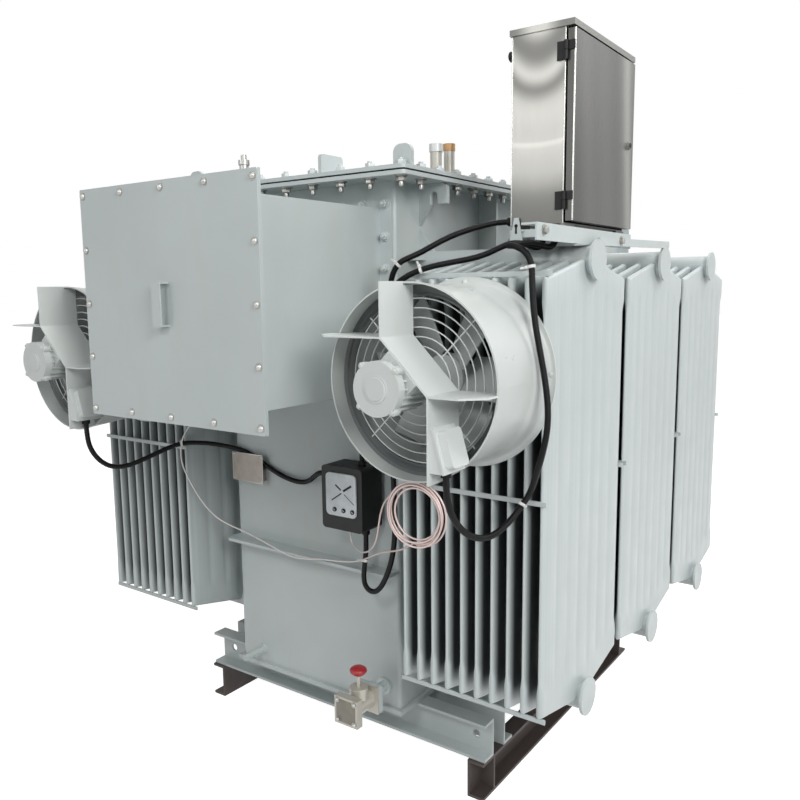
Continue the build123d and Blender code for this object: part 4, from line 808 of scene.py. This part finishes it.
def painted_reflection_bands(made, share, stops, roughness):
    """Brushed sheet with soft bands of painted reflection, as shades along a share."""
    ramp = made.node("ShaderNodeValToRGB")
    made.link(share, ramp.inputs[0])
    ramp.color_ramp.interpolation = "B_SPLINE"
    while len(ramp.color_ramp.elements) < len(stops):
        ramp.color_ramp.elements.new(0.5)
    # painted reflection: the ramp's shades stand in for the hall mirrored in the steel
    for element, (place, shade) in zip(ramp.color_ramp.elements, stops):
        element.position = place
        element.color = (*scaled(SHEET_COLOUR, shade), 1)
    made.link(ramp.outputs[0], made.shader.inputs["Base Color"])
    scratch = made.noise(SCRATCHES, 5, stretch=UPRIGHT_BRUSHING, roughness=0.7)
    made.tint(scratch, SCRATCH_COLOUR, low=0.55, high=1.6)
    made.gloss(scratch, roughness * SMOOTHER, roughness * ROUGHER)
    made.bump(scratch, 0.08, GRAIN_DEPTH)
    return made.material


def narrow_steel():
    """The narrow faces: painted reflection bands that sag between the folded edges, more so near the top."""
    made = Finish("narrow face steel with painted reflections", (0.5, 0.5, 0.47), 0.38, 0.55)
    height = made.range(made.level("Z"), 0, 1, SHEET_LOW, SHEET_HIGH)
    across = made.range(made.level("X"), -1, 1, CABINET_LEFT, CABINET_FACE)
    bow = made.maths("MULTIPLY", across, across)
    sag = made.maths("MULTIPLY", bow, made.range(height, 0.015, 0.11, 0.5, 0.9))
    share = made.maths("SUBTRACT", height, sag)
    share = made.maths("ADD", share, made.range(made.noise(RIPPLES, 2, stretch=(1, 1, 0.6)), -0.02, 0.02))
    return painted_reflection_bands(made, share, NARROW_REFLECTION_BANDS, 0.38)


def door_steel():
    """The wide faces: upright painted reflection bands, darker than on the narrow faces as painted shade, and a
    painted highlight beside the lock.
    """
    made = Finish("door steel with painted reflections", (0.5, 0.5, 0.47), 0.30, 0.6)
    share = made.range(made.level("Y"), 0, 1, DOOR_LOW[1], DOOR_HIGH[1])
    lean = made.range(made.level("Z"), -0.05, 0.05, DOOR_LOW[2], DOOR_HIGH[2])
    share = made.maths("ADD", made.maths("ADD", share, lean), made.range(made.noise(RIPPLES, 2), -0.04, 0.04))
    return painted_reflection_bands(made, share, DOOR_REFLECTION_BANDS, 0.30)


def cabinet_trim():
    """Folded edges in a pale steel that is a painted highlight, the knurled plug, the lock's core, bolts on the
    frame and a keyhole in its ear that is black as painted shade.
    """
    mesh = start()
    height = (SHEET_LOW + SHEET_HIGH) / 2
    fold = (FOLD_WIDTH, FOLD_RISE, SHEET_HIGH - SHEET_LOW)
    for x in (CABINET_LEFT + FOLD_WIDTH / 2, CABINET_FACE - FOLD_WIDTH / 2):
        block(mesh, (x, CABINET_FRONT - FOLD_PROUD, height), fold, FOLD_EDGE)
    finish_piece(mesh, "cabinet_folded_edges", FOLD_HIGHLIGHT_STEEL)
    mesh = start()
    door_middle = (DOOR_LOW[2] + DOOR_HIGH[2]) / 2
    fold = (DOOR_FOLD_WIDTH, DOOR_FOLD_RISE, DOOR_HIGH[2] - DOOR_LOW[2])
    block(mesh, (DOOR_FOLD_X, CABINET_FRONT - DOOR_FOLD_PROUD, door_middle), fold, HEAD_EDGE)
    finish_piece(mesh, "door_folded_edge", FOLD_HIGHLIGHT_STEEL, "door")
    mesh = start()
    plug = (CABINET_LEFT, CABINET_FRONT + PLUG_SETBACK, PLUG_HEIGHT)
    lathed(mesh, PLUG_OUTLINE, plug, (-1, 0, 0), steps=18, closed=False)
    finish_piece(mesh, "cabinet_plug", BLACK_CAST, sharp=30)
    mesh = start()
    lock = (DOOR_HIGH[0], DOOR_HIGH[1] - LOCK_INSET, door_middle)
    lathed(mesh, LOCK_OUTLINE, lock, (1, 0, 0), 20, False)
    block(mesh, (lock[0] + LOCK_SLOT_RISE, lock[1], lock[2]), LOCK_SLOT, FINE_EDGE)
    finish_piece(mesh, "lock_core", BLACK_CAST, "door", 30)
    bolted("frame_bolts", hex_bolt(across=0.017, head=0.007, washer_radius=0.0125), FRAME_BOLTS, (1, 0, 0), ZINC)
    # painted shade: a black disc and slot on the ear stand in for the shade inside its keyhole
    mesh = start()
    rod(mesh, (EAR_X, EAR_FACE, EAR_HOLE_Z), (EAR_X, EAR_FACE - EAR_RELIEF, EAR_HOLE_Z), EAR_HOLE, steps=16)
    block(mesh, (EAR_X, EAR_FACE - EAR_RELIEF / 2, EAR_SLOT_Z), (EAR_HOLE, EAR_RELIEF, EAR_SLOT_LENGTH))
    finish_piece(mesh, "ear_keyhole_painted_shade", BLACK_CAST)


# painted highlight: the folded edges are paler than the sheet, standing in for the light they catch
FOLD_HIGHLIGHT_STEEL = plain("folded edge with painted highlight", (0.80, 0.80, 0.76), 0.25, 0.6)
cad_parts["cabinet_body"].data.materials[0] = narrow_steel()
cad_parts["cabinet_door"].data.materials[0] = door_steel()
cabinet_trim()


# fans
FAN_SIDE = 0.65565
FAN_HEIGHT = 1.325
FLANGE_FACE = -0.8240
GUARD_LOW, GUARD_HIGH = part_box("fan_guards")
GUARD_WIRE = 0.0018
RING_COUNT = 6
RING_PITCH = 0.022
MOTOR_FRONT = -1.2118
MOTOR_COVER = -1.2138
INLET_BACK = -1.030
SPOKE_RADIUS, SPOKE_BEHIND = 0.002, 0.0025
SPOKE_END, SPOKE_START_INSET = 0.2215, 0.004
FLANGE_BOLT_CIRCLE, FLANGE_BOLT_TURN = 0.2265, 2
LUG_CIRCLE, LUG_TURN = 0.0625, 40
LUG_RADIUS, LUG_NUT_RADIUS = 0.0085, 0.0055
LUG_BACK, LUG_END = 0.024, 0.004
LUG_NUT_BACK, LUG_NUT_END = 0.006, -0.001
DISC_BACK, DISC_FRONT = MOTOR_COVER + 0.001, MOTOR_COVER - 0.0016
DISC_RADIUS, DISC_FRONT_RADIUS = 0.0262, 0.0250
INLET_OUTLINE = [
    (0.2213, 0.000), (0.2213, 0.016), (0.2140, 0.012), (0.2075, 0.012),
    (0.2015, 0.006), (0.1970, 0.006), (0.1970, 0.000),
]


def quarters(first):
    """Four turns round a fan's axis, in radians."""
    return [radians(first + 90 * quarter) for quarter in range(4)]


def guard(mesh, centre):
    """Wire rings and four spokes behind them."""
    outer = GUARD_HIGH[2] - FAN_HEIGHT - GUARD_WIRE
    for ring in range(RING_COUNT):
        radius = outer - RING_PITCH * ring
        turns = [pi * step / 4 for step in range(8)]
        section = [(radius + GUARD_WIRE * cos(turn), GUARD_WIRE * sin(turn)) for turn in turns]
        lathed(mesh, section, centre, (0, -1, 0), steps=72)
    behind = Vector((0, SPOKE_BEHIND, 0))
    for turn in quarters(45):
        way = Vector((cos(turn), 0, sin(turn)))
        inner_end = Vector(centre) + way * (outer - RING_PITCH * (RING_COUNT - 1) - SPOKE_START_INSET)
        rod(mesh, inner_end + behind, Vector(centre) + way * SPOKE_END + behind, SPOKE_RADIUS, steps=8)


def motor_lugs(mesh, hub):
    """The clamp lugs and their nuts round the motor's front, and the raised disc in its middle."""
    for turn in quarters(LUG_TURN):
        lug = hub + Vector((LUG_CIRCLE * cos(turn), MOTOR_FRONT, LUG_CIRCLE * sin(turn)))
        for back, end, radius, steps, soft in (
            (LUG_BACK, LUG_END, LUG_RADIUS, 16, PLATE_EDGE),
            (LUG_NUT_BACK, LUG_NUT_END, LUG_NUT_RADIUS, 6, NUT_EDGE),
        ):
            rod(mesh, lug + Vector((0, back, 0)), lug + Vector((0, end, 0)), radius, steps=steps, soft=soft)
    rod(mesh, (hub.x, DISC_BACK, hub.z), (hub.x, DISC_FRONT, hub.z), DISC_RADIUS, DISC_FRONT_RADIUS, steps=40)


def fans():
    bolt = dome_bolt(0.0075, 0.006)
    for side in SIDES:
        hub = Vector((side * FAN_SIDE, 0, FAN_HEIGHT))
        mesh = start()
        guard(mesh, (hub.x, (GUARD_LOW[1] + GUARD_HIGH[1]) / 2, hub.z))
        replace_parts(finish_piece(mesh, f"wire_guard_{SIDE_NAMES[side]}", GUARD_PAINT, sharp=60), "fan_guards")
        spots = [
            hub + Vector((FLANGE_BOLT_CIRCLE * cos(turn), FLANGE_FACE, FLANGE_BOLT_CIRCLE * sin(turn)))
            for turn in quarters(FLANGE_BOLT_TURN)
        ]
        bolted(f"fan_flange_bolts_{SIDE_NAMES[side]}", bolt, spots, (0, -1, 0), WARM_GREY)
        mesh = start()
        motor_lugs(mesh, hub)
        finish_piece(mesh, f"motor_lugs_{SIDE_NAMES[side]}", WARM_GREY, sharp=30)
        mesh = start()
        # painted shade: the inlet ring takes the dark enamel that stands in for the shade inside the shroud
        lathed(mesh, INLET_OUTLINE, (hub.x, INLET_BACK, hub.z), (0, -1, 0), steps=72)
        finish_piece(mesh, f"inlet_ring_{SIDE_NAMES[side]}", INLET_SHADE_GREY, sharp=25)


GUARD_PAINT = enamel("guard wire paint", (0.66, 0.69, 0.68), 0.35, 0.02)
fans()


# indicator, nameplate, valves and small fittings
FACE_LOW, FACE_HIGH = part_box("indicator_face")
POINTERS = (
    ((-0.006, 0.0057), (-0.026, 0.0193), 0.0045),
    ((0.003, 0.0037), (0.033, 0.0225), 0.0062),
    ((-0.004, -0.0038), (-0.041, -0.0285), 0.0034),
    ((0.006, -0.0057), (0.042, -0.0325), 0.0018),
)
POINTER_CENTRE, POINTER_LIFT = (0.230, 0.952), 0.0006
FACE_CORNER, FACE_RIM = 0.014, 0.0015
KNOB_PLACES, KNOB_HEIGHT = (0.200, 0.2335, 0.266), 0.8975
KNOB_OUTLINE = [(0.0, 0.0), (0.0068, 0.0), (0.0068, 0.003), (0.0042, 0.0036), (0.0, 0.0036)]
KNOB_SLOT, KNOB_SLOT_RISE, KNOB_SLOT_TURN = (0.0085, 0.0012, 0.0018), 0.0038, 30
PLATE_RIM, PLATE_RIM_RISE, PLATE_RIM_PROUD = 0.0022, 0.0012, 0.0003
RIVET_INSET, RIVET_RISE = 0.008, 0.0018
RIVET_FOOT, RIVET_TOP = 0.0035, 0.0022
COVER_SIDE, COVER_RISE, COVER_PROUD = 0.070, 0.001, 0.0004
COVER_BOLT_REACH = 0.031
STUD_FOOT = (0.252, -1.180, 1.7635)
STUD_OUTLINE = [
    (0.0, 0.0), (0.016, 0.0), (0.016, 0.012), (0.011, 0.013), (0.011, 0.066),
    (0.0135, 0.067), (0.0135, 0.078), (0.007, 0.079), (0.007, 0.090), (0.0, 0.092),
]
FILLER_PLATE, FILLER_PLATE_BACK = (0.075, 0.062, 0.004), 0.02
REST_MIDDLE, REST_SIZE = (0.3605, -0.570, 1.619), (0.040, 0.130, 0.004)


def indicator():
    """White face with four pointers and three setting knobs, each with a raised white slot that is a painted
    highlight.
    """
    front = FACE_LOW[1]
    middle = [(low + high) / 2 for low, high in zip(FACE_LOW, FACE_HIGH)]
    size = [high - low for low, high in zip(FACE_LOW, FACE_HIGH)]
    mesh = start()
    bmesh.ops.create_cube(mesh, size=1.0, matrix=Matrix.Translation(middle) @ Matrix.Diagonal((*size, 1)))
    upright = [edge for edge in mesh.edges if abs(edge.verts[0].co.y - edge.verts[1].co.y) > 0.002]
    softened(mesh, upright, FACE_CORNER, 6)
    rim = [edge for edge in mesh.edges if all(abs(vert.co.y - front) < 1e-5 for vert in edge.verts)]
    softened(mesh, rim, FACE_RIM, 3)
    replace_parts(finish_piece(mesh, "indicator_white_face", WHITE_FACE), "indicator_face")
    mesh = start()
    for (x0, z0), (x1, z1), wide in POINTERS:
        start_at = Vector((POINTER_CENTRE[0] + x0, front - POINTER_LIFT, POINTER_CENTRE[1] + z0))
        end_at = Vector((POINTER_CENTRE[0] + x1, front - POINTER_LIFT, POINTER_CENTRE[1] + z1))
        turn = Matrix.Rotation(atan2(end_at.x - start_at.x, end_at.z - start_at.z), 4, "Y")
        size = (wide, 2 * POINTER_LIFT, (end_at - start_at).length)
        block(mesh, (start_at + end_at) / 2, size, FINE_EDGE, turn, 1)
    for x in KNOB_PLACES:
        lathed(mesh, KNOB_OUTLINE, (x, front, KNOB_HEIGHT), (0, -1, 0), 20, False)
    finish_piece(mesh, "indicator_pointers", BLACK_CAST, sharp=30)
    mesh = start()
    # painted highlight: a white slot on each dark knob stands in for the glint it shows
    for x in KNOB_PLACES:
        slot_turn = Matrix.Rotation(radians(KNOB_SLOT_TURN), 4, "Y")
        block(mesh, (x, front - KNOB_SLOT_RISE, KNOB_HEIGHT), KNOB_SLOT, FINE_EDGE, slot_turn, 1)
    finish_piece(mesh, "knob_slots_painted_highlight", WHITE_FACE)


def nameplate_rim():
    """A raised rim round the bare plate, and a rivet in each corner."""
    low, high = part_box("nameplate")
    mesh = start()
    middle = (low[0] + high[0]) / 2, (low[2] + high[2]) / 2
    front = low[1] - PLATE_RIM_PROUD
    for x in (low[0] + PLATE_RIM / 2, high[0] - PLATE_RIM / 2):
        block(mesh, (x, front, middle[1]), (PLATE_RIM, PLATE_RIM_RISE, high[2] - low[2]), FINE_EDGE)
    for z in (low[2] + PLATE_RIM / 2, high[2] - PLATE_RIM / 2):
        block(mesh, (middle[0], front, z), (high[0] - low[0], PLATE_RIM_RISE, PLATE_RIM), FINE_EDGE)
    for x in (low[0] + RIVET_INSET, high[0] - RIVET_INSET):
        for z in (low[2] + RIVET_INSET, high[2] - RIVET_INSET):
            rod(mesh, (x, low[1], z), (x, low[1] - RIVET_RISE, z), RIVET_FOOT, RIVET_TOP, 12)
    finish_piece(mesh, "nameplate_rim", ZINC)


def drain_fittings():
    """The mushroom knob, and the face and bolts of the blind cover."""
    low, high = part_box("drain_knob")
    centre = ((low[0] + high[0]) / 2, (low[1] + high[1]) / 2, low[2])
    radius, rise = (high[0] - low[0]) / 2, high[2] - low[2]
    outline = [(0.0, 0.0), (0.35 * radius, 0.0), (0.78 * radius, 0.22 * rise), (0.97 * radius, 0.42 * rise)]
    for turn in map(radians, (0, 18, 36, 54, 72)):
        outline.append((radius * cos(turn), (0.52 + 0.48 * sin(turn)) * rise))
    mesh = start()
    lathed(mesh, [*outline, (0.0, rise)], centre, (0, 0, 1), 40, False)
    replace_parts(finish_piece(mesh, "red_mushroom_knob", RED_KNOB), "drain_knob")
    valve_low, valve_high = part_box("drain_valve")
    face = valve_low[1]
    middle_x = (valve_low[0] + valve_high[0]) / 2
    middle_z = valve_low[2] + (valve_high[0] - valve_low[0]) / 2
    mesh = start()
    block(mesh, (middle_x, face - COVER_PROUD, middle_z), (COVER_SIDE, COVER_RISE, COVER_SIDE), FINE_EDGE)
    finish_piece(mesh, "blind_cover_face", OLIVE_STEEL)
    reach = (-COVER_BOLT_REACH, COVER_BOLT_REACH)
    spots = [(middle_x + x, face - COVER_RISE / 2, middle_z + z) for x in reach for z in reach]
    bolted("blind_cover_bolts", dome_bolt(0.0065, 0.005), spots, (0, -1, 0), ZINC)


def fittings():
    """Earthing stud behind the cable box cover, plate under the fillers and a cable rest on the wall."""
    mesh = start()
    lathed(mesh, STUD_OUTLINE, STUD_FOOT, (0, 0, 1), 20, False)
    finish_piece(mesh, "box_stud", ZINC, sharp=30)
    filler_low, filler_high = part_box("oil_filler")
    mesh = start()
    middle_x, middle_y = (filler_low[0] + filler_high[0]) / 2, filler_low[1] + FILLER_PLATE_BACK
    block(mesh, (middle_x, middle_y, COVER_TOP + FILLER_PLATE[2] / 2), FILLER_PLATE, NUT_EDGE)
    finish_piece(mesh, "filler_plate", OLIVE_STEEL)
    mesh = start()
    block(mesh, REST_MIDDLE, REST_SIZE, PLATE_EDGE)
    finish_piece(mesh, "cable_rest", GREY)


def split_finish(name, near, far, axis, edge, roughness, metallic):
    """One colour below a level of an axis and another above it."""
    made = Finish(name, near, roughness, metallic)
    made.tint(made.level(axis), far, edge, edge + SPLIT_BLUR)
    made.gloss(made.noise(MOTTLE, 3), roughness * SMOOTHER, roughness * ROUGHER)
    made.bump(made.noise(GRAIN, 2), 0.1, GRAIN_DEPTH)
    return made.material


SPLIT_BLUR = 0.0006
VALVE_STEEL = (0.46, 0.45, 0.40)
OLIVE_STEEL = plain("olive steel cover", (0.20, 0.19, 0.155), 0.38, 0.5)
FITTING_FINISHES = {
    "relief_valve": split_finish(
        "steel valve with a brass cap", VALVE_STEEL, (0.46, 0.27, 0.12), "Z", 1.9365, 0.40, 0.35),
    "oil_filler": split_finish(
        "steel filler with a pale cap", VALVE_STEEL, (0.60, 0.62, 0.61), "Z", 1.9250, 0.42, 0.2),
    "drain_valve": split_finish(
        "cast valve on a painted pipe", (0.50, 0.48, 0.42), (0.55, 0.60, 0.60), "Y", -0.7800, 0.36, 0.3),
    "nameplate": plain("dull nameplate", (0.30, 0.27, 0.24), 0.40, 0.6),
}
for name, finish in FITTING_FINISHES.items():
    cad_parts[name].data.materials[0] = finish
indicator()
nameplate_rim()
drain_fittings()
fittings()


# softened sheet edges
SHEET_NODES = (
    "lv_box", "lv_cover", "hv_box", "hv_cover", "cover_handles", "tank_cover", "tank_rim", "tank_floor",
    "cross_channels", "motor_brackets", "lifting_hooks", "cover_lugs", "wall_shelves", "wall_ribs",
    "cabinet_frame", "header_strap", "cabinet_body", "cabinet_door", "indicator_box", "panel_ties",
)
EDGE_WIDTH = 0.0011
for name in SHEET_NODES:
    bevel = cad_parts[name].modifiers.new("softened edges", "BEVEL")
    bevel.width = EDGE_WIDTH
    bevel.segments = 2
    bevel.limit_method = "ANGLE"
    bevel.angle_limit = radians(40)
    bevel.harden_normals = True


# floor, light and camera
FLOOR_HALF_SIZE = 40.0
FLOOR_GREY, FLOOR_GLOW = 0.60, 0.95
SKY_LEVEL = 0.08
# name, place, the point it shines at, its two sides and its watts
LIGHTS = (
    ("key", (4.6, -2.9, 3.3), (0.6, 0.0, 1.1), (2.0, 2.0), 142),
    ("top", (1.6, 0.6, 4.8), (0.2, 0.0, 0.8), (4.0, 4.0), 115),
    ("front", (-1.8, -6.0, 2.6), (0.0, 0.0, 1.1), (2.0, 2.4), 45),
    ("front high", (1.5, -5.4, 4.4), (0.5, -0.4, 1.5), (1.4, 1.4), 75),
    ("side", (3.6, 2.6, 3.7), (0.4, 0.0, 1.4), (2.0, 2.0), 40),
    ("back", (-2.6, 5.4, 3.4), (0.0, 0.6, 1.1), (2.5, 2.5), 90),
)
PHOTO_PLACE = (1.6728, -2.5618, 1.5392)
PHOTO_YAW, PHOTO_PITCH, PHOTO_ROLL = 35.23, 8.0, -0.59
SENSOR_WIDTH, LENS_LENGTH = 36.0, 35.9


def seen_by(tree, *rays):
    """One for these rays, which see the white studio, and nought for those that light the object."""
    path = tree.nodes.new("ShaderNodeLightPath")
    seen = path.outputs[rays[0]]
    for ray in rays[1:]:
        either = tree.nodes.new("ShaderNodeMath")
        either.operation = "MAXIMUM"
        tree.links.new(seen, either.inputs[0])
        tree.links.new(path.outputs[ray], either.inputs[1])
        seen = either.outputs[0]
    return seen


def stage_floor():
    """A pale floor that glows for the camera alone, so that it keeps the object's shadow."""
    mesh = start()
    bmesh.ops.create_grid(mesh, x_segments=1, y_segments=1, size=FLOOR_HALF_SIZE)
    data = bpy.data.meshes.new("floor")
    mesh.to_mesh(data)
    mesh.free()
    floor = bpy.data.objects.new("floor", data)
    bpy.context.scene.collection.objects.link(floor)
    paper = bpy.data.materials.new("pale floor")
    paper.use_nodes = True
    tree = paper.node_tree
    shader = tree.nodes["Principled BSDF"]
    shader.inputs["Base Color"].default_value = (FLOOR_GREY, FLOOR_GREY, FLOOR_GREY, 1)
    shader.inputs["Roughness"].default_value = 0.9
    shader.inputs["Emission Color"].default_value = (1, 1, 1, 1)
    glow = tree.nodes.new("ShaderNodeMath")
    glow.operation = "MULTIPLY"
    glow.inputs[1].default_value = FLOOR_GLOW
    tree.links.new(seen_by(tree, "Is Camera Ray", "Is Glossy Ray"), glow.inputs[0])
    tree.links.new(glow.outputs[0], shader.inputs["Emission Strength"])
    data.materials.append(paper)


def studio_light(name, at, towards, size, watts):
    lamp = bpy.data.lights.new(name, "AREA")
    lamp.shape = "RECTANGLE"
    lamp.size, lamp.size_y = size
    lamp.energy = watts
    holder = bpy.data.objects.new(name, lamp)
    bpy.context.scene.collection.objects.link(holder)
    holder.location = at
    holder.rotation_euler = (Vector(towards) - Vector(at)).to_track_quat("-Z", "Y").to_euler()


def sky():
    """White where it is seen, and dim where it lights the object."""
    world = bpy.data.worlds.new("studio")
    bpy.context.scene.world = world
    world.use_nodes = True
    tree = world.node_tree
    background = tree.nodes["Background"]
    strength = tree.nodes.new("ShaderNodeMapRange")
    strength.inputs["To Min"].default_value = SKY_LEVEL
    strength.inputs["To Max"].default_value = 1.0
    seen = seen_by(tree, "Is Camera Ray", "Is Glossy Ray", "Is Transmission Ray")
    tree.links.new(seen, strength.inputs["Value"])
    tree.links.new(strength.outputs["Result"], background.inputs["Strength"])
    background.inputs["Color"].default_value = (1, 1, 1, 1)


def photo_camera():
    """The place and turn of the camera that took the photograph, as fitted to it."""
    yaw, pitch, roll = radians(PHOTO_YAW), radians(PHOTO_PITCH), radians(PHOTO_ROLL)
    forward = Vector((-sin(yaw) * cos(pitch), cos(yaw) * cos(pitch), -sin(pitch)))
    level_right = Vector((cos(yaw), sin(yaw), 0))
    level_up = level_right.cross(forward)
    right = cos(roll) * level_right + sin(roll) * level_up
    up = -sin(roll) * level_right + cos(roll) * level_up
    lens = bpy.data.cameras.new("photo camera")
    lens.sensor_width = SENSOR_WIDTH
    lens.lens = LENS_LENGTH
    lens.clip_end = 200.0
    camera = bpy.data.objects.new("photo camera", lens)
    bpy.context.scene.collection.objects.link(camera)
    turn = Matrix((right, up, -forward)).transposed()
    camera.matrix_world = Matrix.Translation(PHOTO_PLACE) @ turn.to_4x4()
    bpy.context.scene.camera = camera


stage_floor()
sky()
for light in LIGHTS:
    studio_light(*light)
photo_camera()
bpy.context.scene.view_settings.view_transform = "Standard"
